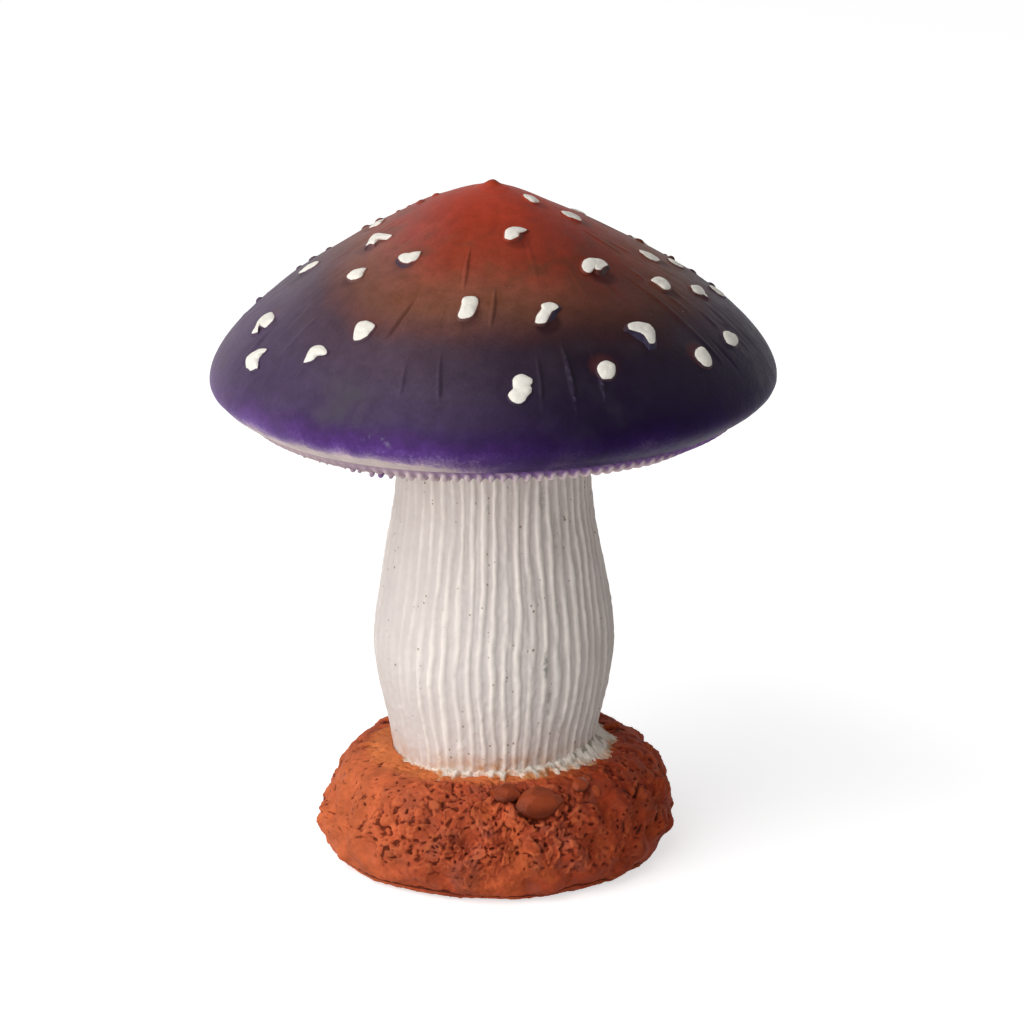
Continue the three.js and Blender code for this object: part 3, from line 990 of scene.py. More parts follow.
@dataclass(frozen=True)
class SoilPaint:
    """Terracotta paint over rough soil: painted shade in the pits, orange painted highlights on the high
    spots, orange round the stem.
    """

    body: Colour = (0.370, 0.060, 0.024)
    # The pit and high tones are the painted shade and painted highlights that the cavity lays
    pit: Colour = (0.075, 0.012, 0.006)
    high: Colour = (0.560, 0.140, 0.052)
    # Warmer orange at the left, partly the soil's own colour and partly painted light
    warm_and_lit: Colour = (0.540, 0.128, 0.048)
    glow: Colour = (0.660, 0.190, 0.060)
    shade: Colour = (0.860, 0.720, 0.600)
    dusty: Colour = (0.290, 0.080, 0.052)
    ember: Colour = (0.560, 0.118, 0.034)
    maroon: Colour = (0.215, 0.030, 0.016)
    roughness: float = 0.62
    specular: float = 0.05

    def material(self, effects: SharedEffects) -> Material:
        """Builds the finish of the soil, which reads the cavity, the warmth and painted light at the left,
        the glow and the shade kept on its mesh.

        Args:
            effects: The shared effects.

        Returns:
            The material.
        """
        bench = FinishBench("soil", self.roughness, self.specular, effects)
        grain = bench.grain(800.0, 0.5)
        cavity = bench.attribute("cavity")
        holes = bench.specks(420.0, 0.15, 0.09)
        # Painted light: warmth at the lit left, highlights on fold edges, shade in pits, in the groove and on
        # the right
        pinned = bench.layered(
            self.body,
            (bench.times(bench.patches(240.0, 0.45, 0.68), 0.6), self.dusty),
            (bench.times(bench.patches(100.0, 0.5, 0.66), 0.5), self.ember),
            (bench.times(bench.patches(135.0, 0.52, 0.7), 0.7), self.maroon),
            (bench.attribute("warm_and_lit"), self.warm_and_lit),
            (bench.span(cavity, 0.1, 0.9, 0.0, 0.5), self.high),
            (bench.attribute("glow"), self.glow),
            (bench.attribute("shade"), self.shade, "MULTIPLY"),
            (bench.span(cavity, -0.15, -1.0, 0.0, 0.86), self.pit),
            (bench.times(holes, 0.6), self.pit),
        )
        toned = bench.toned(bench.toned(pinned, bench.grain(300.0, 0.7)), grain)
        depth = bench.sum("SUBTRACT", grain.outputs["Height"], holes)
        return bench.finished(toned, depth, 0.6, SOIL_BUMP)


@dataclass(frozen=True)
class PebblePaint:
    """Smooth brown pebbles with worn tops, darker towards the bottom as painted shade."""

    body: Colour = (0.310, 0.055, 0.018)
    worn: Colour = (0.205, 0.038, 0.014)
    scuff: Colour = (0.560, 0.230, 0.110)
    # Multiplied in towards the bottom of each stone as painted shade
    lee: Colour = (0.420, 0.360, 0.340)
    roughness: float = 0.28
    specular: float = 0.09

    def material(self, effects: SharedEffects) -> Material:
        """Builds the finish of the pebbles, which reads how low a point lies on its stone, for painted shade
        at the bottom.

        Args:
            effects: The shared effects.

        Returns:
            The material.
        """
        bench = FinishBench("pebble", self.roughness, self.specular, effects)
        grain = bench.grain(700.0, 0.2)
        sheltered = bench.layered(
            self.body,
            (bench.patches(300.0, 0.45, 0.7), self.worn),
            (bench.times(bench.specks(700.0, 0.2, 0.05), 0.6), self.scuff),
            (bench.attribute("low"), self.lee, "MULTIPLY"),
        )
        return bench.finished(bench.toned(sheltered, grain), grain.outputs["Height"], 0.35)


# Geometry Nodes

def grow(piece: Piece, tree: Tree, values: dict[str, object]) -> None:
    """Runs a Geometry Nodes tree on a piece and keeps the result as its plain mesh.

    Args:
        piece: The piece whose mesh goes in and is replaced.
        tree: The tree.
        values: Values for the tree's named inputs.
    """
    modifier = piece.modifiers.new("grow", "NODES")
    modifier.node_group = tree
    for item in tree.interface.items_tree:
        if item.item_type == "SOCKET" and item.in_out == "INPUT" and item.name in values:
            modifier[item.identifier] = values[item.name]
    graph = bpy.context.evaluated_depsgraph_get()
    grown = piece.evaluated_get(graph)
    mesh = bpy.data.meshes.new_from_object(grown, preserve_all_data_layers=True, depsgraph=graph)
    piece.modifiers.clear()
    spent = piece.data
    piece.data = mesh
    bpy.data.meshes.remove(spent)
    mesh.name = piece.name


class GrowingTrees:
    """The Geometry Nodes trees: ridges round an axis, and lumps set on points or scattered on a surface."""

    def __init__(self) -> None:
        """Builds each tree once."""
        self.ridges = self._ridges()
        self.lumps = self._lumps()
        self.crumbs = self._crumbs()

    @staticmethod
    def _started(name: str, numbers: dict[str, float]) -> NodeBench:
        """Starts a tree with a mesh, numbers and a finish for its inputs."""
        inputs = {"Geometry": Kind.GEOMETRY, **numbers, "Material": Kind.MATERIAL}
        return new_group(name, inputs, {"Geometry": Kind.GEOMETRY})

    @staticmethod
    def _finish(bench: NodeBench, geometry: Socket, material: Socket) -> Tree:
        """Ends a tree in plain mesh with its material.

        Args:
            bench: The tree's bench.
            geometry: What the tree has made.
            material: The finish.

        Returns:
            The tree.
        """
        real = bench.add("GeometryNodeRealizeInstances", {"Geometry": geometry}).outputs[0]
        smooth = bench.add("GeometryNodeSetShadeSmooth", {"Geometry": real}).outputs[0]
        dressed = bench.add("GeometryNodeSetMaterial", {"Geometry": smooth, "Material": material}).outputs[0]
        bench.add("NodeGroupOutput", {"Geometry": dressed})
        return bench.tree

    def _ridges(self) -> Tree:
        """Wandering ridges that run away from the axis or along it, raised along the normals.

        Returns:
            The tree.
        """
        numbers = {
            "Count": 56.0, "Cross Count": 41.0, "Cross": 0.0, "Height": 0.0007, "Sharpness": 2.0,
            "Wander": 0.1, "Fine Wander": 0.0, "Unevenness": 0.4,
        }
        bench = self._started("ridges", numbers)
        given = bench.add("NodeGroupInput").outputs
        position = bench.add("GeometryNodeInputPosition").outputs[0]
        parts = bench.add("ShaderNodeSeparateXYZ", {0: position}).outputs
        angle = bench.sum("ARCTAN2", parts[0], bench.times(parts[1], -1.0))
        tall = bench.scaled(position, (1.0, 1.0, 0.45))
        thin = bench.scaled(position, (1.0, 1.0, 0.3))

        def ridge(count: Socket, slow: float, fast: float) -> Socket:
            """One set of ridges, from 0 in the valleys to 1 on the crests.

            Args:
                count: How many go round.
                slow: Scale of their broad wander.
                fast: Scale of their fine wander.

            Returns:
                The height.
            """
            broad = bench.sum("SUBTRACT", bench.noise(tall, slow, 1.5), 0.5)
            close = bench.sum("SUBTRACT", bench.noise(thin, fast, 2.0), 0.5)
            swung = bench.sum("ADD", angle, bench.times(broad, given["Wander"]))
            swung = bench.sum("ADD", swung, bench.times(close, given["Fine Wander"]))
            wave = bench.sum("COSINE", bench.times(swung, count))
            half = bench.sum("ADD", bench.times(wave, 0.5), 0.5)
            return bench.sum("POWER", half, given["Sharpness"])

        patchy = bench.noise(tall, 55.0, 2.0)
        second = bench.times(ridge(given["Cross Count"], 33.0, 210.0), given["Cross"])
        both = bench.sum("MAXIMUM", ridge(given["Count"], 42.0, 260.0), bench.times(second, patchy))
        rough = bench.noise(position, 480.0, 2.0)
        worn = bench.times(bench.times(rough, patchy), given["Unevenness"])
        even = bench.sum("SUBTRACT", 1.0, bench.times(worn, 2.0))
        relief = bench.named("relief")
        share = bench.times(bench.times(both, even), relief)
        normal = bench.add("GeometryNodeInputNormal").outputs[0]
        rise = bench.times(share, given["Height"])
        offset = bench.resized(normal, rise)
        kept = {"Geometry": given["Geometry"], "Name": "ridge", "Value": share}
        kind = {"data_type": "FLOAT", "domain": "POINT"}
        stored = bench.add("GeometryNodeStoreNamedAttribute", kept, **kind).outputs[0]
        moved = bench.add("GeometryNodeSetPosition", {"Geometry": stored, "Offset": offset}).outputs[0]
        return self._finish(bench, moved, given["Material"])

    def _lumps(self) -> Tree:
        """One small lump on each point, as big as the point's own size and standing along its own normal.

        Returns:
            The tree.
        """
        bench = self._started("lumps", {"Flatness": 1.0, "Seed": 1})
        given = bench.add("NodeGroupInput").outputs
        size = bench.named("size")
        out = bench.named("out", "FLOAT_VECTOR")
        ball = bench.add("GeometryNodeMeshUVSphere", {"Segments": 8, "Rings": 6, "Radius": 1.0}).outputs[0]
        upright = bench.add("FunctionNodeAlignRotationToVector", {"Vector": out}, axis="Z").outputs[0]
        ranges = {0: (0.85, 0.85, 0.85), 1: (1.15, 1.15, 1.15), "Seed": given["Seed"]}
        uneven = bench.add("FunctionNodeRandomValue", ranges, data_type="FLOAT_VECTOR").outputs[0]
        flat = bench.add("ShaderNodeCombineXYZ", {0: 1.0, 1: 1.0, 2: given["Flatness"]}).outputs[0]
        shaped = bench.scaled(uneven, flat)
        scaled = bench.resized(shaped, size)
        placing = {"Points": given["Geometry"], "Instance": ball, "Rotation": upright, "Scale": scaled}
        set_out = bench.add("GeometryNodeInstanceOnPoints", placing).outputs[0]
        return self._finish(bench, set_out, given["Material"])

    def _crumbs(self) -> Tree:
        """Crumbs scattered over a surface where its own crumb share allows, without that surface.

        Returns:
            The tree.
        """
        numbers = {"Density": 50000.0, "Smallest": 0.0002, "Largest": 0.0006, "Seed": 1}
        bench = self._started("crumbs", numbers)
        given = bench.add("NodeGroupInput").outputs
        share = bench.named("crumb")
        density = bench.times(share, given["Density"])
        spread = {"Mesh": given["Geometry"], "Density": density, "Seed": given["Seed"]}
        points = bench.add("GeometryNodeDistributePointsOnFaces", spread).outputs
        ball = bench.add("GeometryNodeMeshUVSphere", {"Segments": 7, "Rings": 5, "Radius": 1.0}).outputs[0]
        ranges = {2: given["Smallest"], 3: given["Largest"], "Seed": given["Seed"]}
        size = bench.add("FunctionNodeRandomValue", ranges, data_type="FLOAT").outputs[1]
        shapes = {0: (0.8, 0.8, 0.5), 1: (1.3, 1.3, 0.8), "Seed": given["Seed"]}
        shape = bench.add("FunctionNodeRandomValue", shapes, data_type="FLOAT_VECTOR").outputs[0]
        scaled = bench.resized(shape, size)
        placing = {"Points": points["Points"], "Instance": ball}
        placing.update({"Rotation": points["Rotation"], "Scale": scaled})
        set_out = bench.add("GeometryNodeInstanceOnPoints", placing).outputs[0]
        return self._finish(bench, set_out, given["Material"])


# Cap

CAP_WRINKLES = stamp_list(
    (-27.3, 42.2, 6.8, 0.50, -9.0, -0.62),
    (-11.6, 27.6, 6.5, 0.55, 4.0, 0.42),
    (0.1, 38.3, 5.6, 0.60, -5.0, 0.52),
    (-11.4, 59.5, 11.0, 0.50, 8.0, 0.60),
    (-47.1, 62.6, 6.0, 0.50, -5.0, 0.45),
    (-20.2, 57.0, 5.0, 0.50, 6.0, 0.42),
    (17.6, 56.5, 10.0, 0.50, -1.0, 0.72),
    (24.4, 57.5, 9.5, 0.50, -3.0, 0.64),
    (10.6, 57.0, 7.0, 0.48, -2.0, 0.48),
    (58.3, 48.0, 18.0, 0.60, 5.0, 0.28),
    (70.0, 56.0, 9.0, 0.55, 4.0, 0.30),
    (63.0, 60.0, 7.0, 0.55, 5.0, -0.26),
    (-68.0, 58.0, 9.0, 0.55, 2.0, -0.26),
    (-56.0, 52.0, 8.0, 0.55, -4.0, 0.24),
)
CAP_SMUDGES = stamp_list(
    (-33.0, 62.5, 7.0, 9.0, 20.0, 0.60),
    (-24.0, 66.0, 3.0, 6.0, 0.0, 0.35),
    (-58.0, 60.0, 5.0, 4.0, 0.0, 0.30),
    (72.0, 64.0, 6.0, 4.0, 0.0, 0.40),
)
CAP_SCUFFS = stamp_list(
    (-25.8, 69.3, 2.9, 0.60, 122.0, 0.90),
    (-20.9, 69.3, 2.4, 0.60, 48.0, 0.90),
    (-55.0, 73.0, 2.2, 0.50, 70.0, 0.80),
    # These three lay pale lines along the wrinkles at the same places
    (17.4, 57.0, 8.0, 0.35, -1.0, 0.34),
    (24.2, 58.0, 7.5, 0.35, -3.0, 0.26),
    (-11.6, 60.0, 8.0, 0.35, 8.0, 0.16),
)
SKYLINE_PIMPLES = [
    (-118, 0.19), (-108, 0.225), (-119, 0.40), (-114, 0.43), (-108, 0.60), (-108, 0.65), (-102, 0.78),
    (109, 0.48), (108, 0.59), (108, 0.67), (105, 0.73),
]
FADE_EDGE = [
    (-180, 40), (-120, 36), (-77, 33), (-50, 40), (-30, 44), (0, 43),
    (30, 47), (45, 49), (60, 47), (80, 44), (120, 42), (180, 40),
]
FADE_MIDDLE = 43.0


@dataclass
class Cap:
    """The painted cap: a wrinkled dome, a rounded rim and the recess for the gills."""

    paint: Material
    trees: GrowingTrees
    crown_roundness: float = 12.0
    side_roundness: float = 12.5
    rim_drop: float = 5.6
    rim_flare: float = 0.4
    rim_lift: float = 0.25
    lip_inset: float = 5.7
    lip_width: float = 0.8
    recess_depth: float = 4.0
    sag_depth: float = 1.2
    sag_bearing: float = 95.0
    sag_radius: float = 14.0
    rise_height: float = 1.3
    rise_bearing: float = 25.0
    rise_start: float = 20.9
    rise_end: float = 49.4
    dome_steps: int = 600
    under_steps: int = 160
    columns: int = 640
    rows: int = 148
    wrinkle_count: int = 110
    pimple_count: int = 46
    shadow_limit: float = 44.0
    seed: int = 11

    @cached_property
    def outline(self) -> Outline:
        """The outer curve from the crown over the rim to the lip."""
        low, high = node_box("cap")
        radius, top, lip = high[0], high[2], low[2]
        rim = lip + self.rim_drop
        lip_radius = radius - self.lip_inset
        crown = ((0, top), (self.crown_roundness, top))
        dome = bezier((*crown, (radius, rim + self.side_roundness), (radius, rim)), self.dome_steps)
        flare_radius = lip_radius + self.rim_flare * self.lip_inset
        flare_height = lip + self.rim_lift * self.rim_drop
        turn = ((radius, rim), (radius, rim - self.rim_flare * self.rim_drop), (flare_radius, flare_height))
        under = bezier((*turn, (lip_radius, lip)), self.under_steps)
        return Outline(np.vstack((dome, under[1:])))

    @cached_property
    def length(self) -> float:
        """Length of the outer curve."""
        return float(self.outline.lengths[-1])

    @cached_property
    def dome_length(self) -> float:
        """Length of the outer curve as far as the rim."""
        return float(self.outline.lengths[self.dome_steps - 1])

    def sag(self, radius: Array, angle: Array) -> Array:
        """How far the dome has sunk on its low flank, at a distance from the axis.

        Args:
            radius: Distance from the axis.
            angle: Angle from the front.

        Returns:
            Millimetres down.
        """
        rim = self.outline.points[self.dome_steps - 1, 0]
        flank = ease(0, self.sag_radius, radius) * (1 - ease(self.sag_radius, rim, radius))
        return self.sag_depth * facing(angle, self.sag_bearing) ** 2 * flank

    def rim_rise(self, radius: Array, angle: Array) -> Array:
        """How far the rim and the gills ride up at the front, at a distance from the axis."""
        out = ease(self.rise_start, self.rise_end, radius)
        return self.rise_height * facing(angle, self.rise_bearing) ** 2 * out

    def surface(self, length: Array, angle: Array, rise: Array) -> Array:
        """Points over the sunken dome and the wavy rim.

        Args:
            length: Length from the crown.
            angle: Angle from the front.
            rise: Height over the dome.

        Returns:
            The points.
        """
        radius, height = self.outline.at(length)
        out, up = self.outline.outward(length)
        sunk = np.where(length < self.dome_length, self.sag(radius, angle), 0.0)
        level = height + self.rim_rise(radius, angle) - sunk
        return spot(radius + out * rise, angle, level + up * rise)

    def along(self, points: Array) -> tuple[Array, Array]:
        """The length from the crown and the angle of points on the dome.

        Args:
            points: The points, one a row.

        Returns:
            The lengths and the angles.
        """
        angle = np.arctan2(points[:, 0], -points[:, 1])
        radius = np.hypot(points[:, 0], points[:, 1])
        level = points[:, 2] + self.sag(radius, angle) - self.rim_rise(radius, angle)
        return self.outline.nearest(radius, level), angle

    def colours(self, length: Array, angle: Array) -> dict[str, Array]:
        """How the spray has run at a place.

        Args:
            length: Length from the crown.
            angle: Angle from the front.

        Returns:
            The fade, from 0 at the crown to 1 at the lip; the darkening, which is 1 on the dark right side
            and is partly the paint's own darker tone and partly painted shade; and the painted sheen, which
            is strongest at the left.
        """
        degrees = np.degrees(wrapped(angle))
        edge = by_angle(FADE_EDGE, degrees)
        held = ease(4, 32, length) * (1 - ease(52, 66, length))
        fade = (length - (edge - FADE_MIDDLE) * held) / self.length
        violet = ease(-24, 8, degrees) * (1 - ease(150, 180, degrees))
        fade = fade - np.maximum(fade - 0.905, 0) * violet
        low = ease(28, 50, length)
        # Darkening towards the right, partly the paint's own darker tone and partly painted shade
        dark_paint_and_shade = ease(-25 * low, 62 - 40 * low, degrees) * (1 - ease(110, 175, degrees)) * ease(6, 30, length)
        dark_paint_and_shade = dark_paint_and_shade * (1 - 0.45 * ease(52, 74, degrees) * (1 - ease(50, 64, length)))
        dark_paint_and_shade = dark_paint_and_shade * (0.68 + 0.32 * ease(0.42, 0.60, fade))
        # A painted sheen on the left, with a little along the left rim
        left = ease(52, 88, -degrees) + 0.7 * ease(18, 50, -degrees) * (1 - ease(26, 42, length))
        rim = 0.06 * ease(30, 55, -degrees) * ease(62, 70, length)
        painted_sheen = 0.10 * np.clip(left, 0, 1) * ease(4, 22, length) + rim
        painted_sheen = painted_sheen * (1 - ease(110, 170, -degrees))
        return {"fade": fade, "dark_paint_and_shade": dark_paint_and_shade, "painted_sheen": painted_sheen}

    def build(self, warts: list["Wart"]) -> None:
        """Builds the cap and its pimples.

        Args:
            warts: The warts, round which the dome stays smooth.
        """
        rows = np.linspace(self.length, 0, self.rows)
        grid = TurnedGrid(self.outline, rows, front_heavy(self.columns, 0.5))
        outer = self.surface(rows[:, None], grid.angles[None], self._relief(grid, warts))
        lip = node_box("cap")[0][2]
        recess_radius = float(grid.radii[0]) - self.lip_width
        recess = lip + self.recess_depth
        under = [(0, recess), (recess_radius / 2, recess), (recess_radius, recess), (recess_radius, lip)]
        inner = np.stack([spot(r, grid.angles, z + self.rim_rise(r, grid.angles)) for r, z in under])
        mesh = sheet_mesh("cap_dome", np.concatenate((inner, outer)))
        fields = self.colours(rows[:, None], grid.angles[None])
        fields["halo"] = self._halo(grid, warts)
        fields["smudge"] = np.clip(grid.stamped(CAP_SMUDGES), 0, 1)
        # Painted shadows below the warts darken the cap further
        fields["dark_paint_and_shade"] = np.clip(fields["dark_paint_and_shade"] + grid.stamped(self._shadows(warts)), 0, 1)
        fields["scuff"] = np.clip(grid.stamped(CAP_SCUFFS), 0, 1)
        for label, values in fields.items():
            blank = np.full((len(under), self.columns), 1.0 if label == "fade" else 0.0)
            mark(mesh, label, ring_values(np.concatenate((blank, values))))
        hand_over(new_piece("cap_dome", mesh, self.paint), Slot.CAP, "cap")
        self._pimples()

    def _relief(self, grid: TurnedGrid, warts: list["Wart"]) -> Array:
        """The dome's swells and wrinkles.

        Args:
            grid: The outer grid.
            warts: The warts, round which the relief fades out.

        Returns:
            How far each point rises.
        """
        draw = np.random.default_rng(self.seed)
        stamps = list(CAP_WRINKLES)
        for _ in range(self.wrinkle_count):
            around = draw.uniform(-180, 180)
            along = draw.uniform(18, 66)
            long = draw.uniform(3, 9)
            rise = draw.choice((-1, 1)) * draw.uniform(0.05, 0.2)
            if abs(around) > 62 or abs(rise) < 0.1:
                stamps.append(Stamp(around, along, long, draw.uniform(0.5, 0.9), draw.uniform(-7, 7), rise))
        relief = grid.stamped(stamps)
        turning = spot(np.full_like(grid.angles, 36.0), grid.angles, 0 * grid.angles)
        swung = np.repeat(turning[None], len(grid.rows), axis=0)
        swung[..., 2] = grid.rows[:, None] / 11
        out = ease(10, 50, grid.radii)[:, None]
        side = 0.25 + 0.75 * ease(40, 65, np.abs(grid.degrees))
        relief += 0.045 * out * side * soft_noise(swung, 1.0, self.seed, 2)
        relief += 0.2 * soft_noise(grid.places, 13.0, self.seed + 5, 2)
        tip = grid.rows[:, None]
        held = ease(0.0, 4.0, tip) * ease(0.0, 3.0, self.length - tip)
        calm = [Stamp(w.around, w.along, 1.9 * w.long, 1.9 * w.wide, w.lean, 1.0) for w in warts]
        near = np.clip(grid.stamped(calm, 1.8), 0, 1)
        relief *= held * (1 - near)
        return np.where(tip > 60, np.minimum(relief, 0.0), relief) - 0.02

    def _halo(self, grid: TurnedGrid, warts: list["Wart"]) -> Array:
        """Red-brown paint left round the uphill side of some warts.

        Args:
            grid: The outer grid.
            warts: The warts.

        Returns:
            How strongly it shows at each point.
        """
        patches = []
        for wart in warts:
            uphill = wart.along - 0.3 * wart.long
            long, wide = 1.7 * wart.long, 1.8 * wart.wide
            patches.append(Stamp(wart.around, uphill, long, wide, wart.lean, 0.30 * wart.dab.halo))
        return np.clip(grid.stamped(patches), 0, 0.9)

    def _shadows(self, warts: list["Wart"]) -> list[Stamp]:
        """Painted shadows below the warts on the upper dome.

        Args:
            warts: The warts.

        Returns:
            The painted shadow patches.
        """
        shadows = []
        for wart in warts:
            if wart.along < self.shadow_limit:
                below = wart.along + 0.9 * wart.long
                long, wide = 1.4 * wart.long, 1.5 * wart.wide
                shadows.append(Stamp(wart.around + 1.0, below, long, wide, wart.lean, 0.5))
        return shadows

    def _pimples(self) -> None:
        """Builds small unpainted pimples between the warts."""
        draw = np.random.default_rng(self.seed + 2)
        places = [(around, share * self.dome_length) for around, share in SKYLINE_PIMPLES]
        for _ in range(self.pimple_count):
            around = draw.uniform(112, 248)
            places.append((around, draw.uniform(0.25, 0.85) * self.dome_length))
        angle = np.radians([place[0] for place in places])
        length = np.array([place[1] for place in places])
        size = draw.uniform(0.55, 0.9, len(places))
        size[:len(SKYLINE_PIMPLES)] += 0.35
        out, up = self.outline.outward(length)
        points = self.surface(length, angle, -0.3 * size)
        piece = scattered("cap_pimples", points, size, spot(out, angle, up), self.paint)
        grow(piece, self.trees.lumps, {"Flatness": 0.8, "Seed": self.seed, "Material": self.paint})
        grown = np.array([vertex.co for vertex in piece.data.vertices]) / MM
        for label, values in self.colours(*self.along(grown)).items():
            mark(piece.data, label, values)
        hand_over(piece, Slot.CAP)


# Warts

@dataclass(frozen=True)
class Dab:
    """A wart's dab of paint, with its outline in millimetres to the right and down the slope.

    The shade is the way that its bare underside faces, in degrees from straight down towards the right; that
    underside is darkened as painted shade.
    """

    outline: tuple[tuple[float, float], ...] = ()
    shade: float = 0.0
    bare: float = 0.15
    halo: float = 0.1
    rise: float = 0.8


def tenths(*corners: tuple[int, int]) -> tuple[tuple[float, float], ...]:
    """An outline given in tenths of a millimetre."""
    return tuple((aside / 10, down / 10) for aside, down in corners)


# Dabs that the photograph shows face on, by the number of their wart
FRONT_DABS = {
    1: Dab(tenths(
        (-24, 18), (-18, -2), (-8, -12), (5, -14), (16, -10), (24, -1), (15, 5), (7, 8), (3, 17),
        (-5, 21), (-14, 24), (-21, 22),
    ), 53.0, 0.6, 0.0, 0.9),
    3: Dab(tenths(
        (-19, -13), (-5, -24), (12, -28), (24, -23), (34, -14), (37, -3), (33, 7), (18, 9), (5, 14),
        (-1, 10), (-2, 5), (-14, 11), (-23, 11), (-27, 1),
    ), 37.0, 0.9, 0.2, 1.0),
    4: Dab(tenths(
        (2, -20), (7, -24), (18, -26), (27, -21), (32, -14), (32, -6), (24, 0), (17, 4), (11, 12),
        (5, 22), (-1, 29), (-10, 30), (-18, 27), (-19, 22), (-12, 6), (0, -9),
    ), 63.0, 0.9, 0.0, 1.0),
    7: Dab(tenths(
        (-4, -21), (10, -23), (27, -21), (37, -14), (39, -5), (35, 5), (27, 13), (15, 17), (2, 14),
        (-3, 7), (-1, -4), (-4, -13),
    ), 0.0, 0.2, 0.3),
    8: Dab(tenths(
        (3, -19), (20, -15), (34, -6), (36, 2), (27, 10), (14, 16), (5, 22), (2, 12), (-12, 3),
        (-15, -5), (-8, -12),
    ), 37.0, 0.5, 0.55),
    10: Dab(tenths(
        (-19, -21), (-12, -27), (0, -29), (12, -27), (24, -22), (34, -14), (36, -3), (32, 10), (24, 20),
        (13, 31), (4, 33), (-2, 30), (-1, 13), (-4, 6), (-9, -1), (-22, -11),
    ), -45.0, 1.0, 0.0, 1.0),
    11: Dab(tenths(
        (-16, 1), (-10, -9), (1, -15), (11, -16), (18, -12), (23, -5), (21, 6), (15, 17), (6, 24),
        (-4, 24), (-12, 22), (-16, 12),
    ), 0.0, 0.2, 0.75),
    12: Dab(tenths(
        (-15, -7), (-4, -15), (13, -18), (22, -15), (25, -5), (24, 5), (20, 14), (14, 21), (4, 26),
        (-7, 25), (-15, 19), (-18, 1),
    ), 0.0, 0.15, 0.7),
    13: Dab(tenths(
        (-14, -13), (-2, -16), (13, -12), (19, -5), (25, 5), (21, 14), (6, 19), (-10, 20), (-21, 16),
        (-28, 7), (-24, -3),
    ), ),
    14: Dab(tenths(
        (2, 28), (-8, 19), (-21, 12), (-29, 3), (-23, -7), (-3, -15), (24, -22), (27, -14), (26, -7),
        (17, -2), (9, 2), (13, 9), (17, 16), (8, 21), (7, 28),
    ), -20.0, 0.6),
    16: Dab(tenths(
        (-8, 20), (-11, 10), (-9, 1), (-1, -6), (14, -14), (20, -6), (24, 0), (29, 9), (26, 17),
        (18, 22), (7, 24),
    ), ),
    17: Dab(tenths(
        (5, 34), (0, 27), (-10, 19), (-21, 10), (-26, 0), (-21, -11), (-9, -22), (16, -21), (32, -14),
        (33, -4), (33, 4), (27, 9), (10, 12), (12, 18), (20, 23), (14, 29),
    ), 0.0, 0.15, 0.5),
    18: Dab(tenths(
        (-18, 23), (-28, 14), (-27, 4), (-19, -7), (-8, -16), (12, -22), (15, -15), (12, -7), (13, 2),
        (24, 11), (32, 19), (26, 23), (17, 30), (7, 29), (-5, 29),
    ), 0.0, 0.15, 0.0),
    19: Dab(tenths(
        (-12, 27), (-16, 15), (-19, 3), (-18, -9), (-9, -16), (7, -17), (20, -11), (26, -6), (26, 0),
        (15, 4), (9, 7), (8, 14), (2, 21), (-6, 25),
    ), ),
    20: Dab(tenths(
        (-5, 24), (-11, 13), (-17, -1), (-17, -13), (-9, -20), (5, -21), (22, -15), (24, -6), (23, 4),
        (22, 14), (16, 22), (9, 27), (1, 29),
    ), 45.0, 0.3, 0.5),
    22: Dab(tenths(
        (-14, 15), (-15, 7), (-10, -1), (1, -5), (8, -10), (19, -15), (24, -5), (26, 7), (22, 16),
        (17, 23), (8, 25), (-3, 22),
    ), -17.0, 0.8, 0.0),
    23: Dab(tenths(
        (-16, 26), (-14, 12), (-13, -2), (-13, -15), (-9, -23), (2, -26), (11, -24), (17, -16),
        (18, -4), (16, 8), (14, 22), (8, 31), (-1, 35), (-10, 35), (-15, 31),
    ), 0.0, 0.2, 0.0),
    24: Dab(tenths(
        (-13, -7), (-11, -16), (-3, -23), (7, -25), (16, -20), (24, -14), (24, -5), (20, 1), (22, 8),
        (19, 16), (12, 24), (7, 32), (-1, 37), (-11, 36), (-19, 30), (-23, 21), (-21, 14), (-13, 6),
        (-13, 0),
    ), 0.0, 0.15, 0.0),
}
# Warts whose outlines also serve for those at the skyline and behind it
PATTERNS = (7, 11, 12, 13, 16, 20, 22, 23)


@dataclass(frozen=True)
class Wart:
    """One wart's place on the dome, read from its CAD node, and its dab of paint."""

    node: str
    around: float
    along: float
    long: float
    wide: float
    lean: float
    dab: Dab


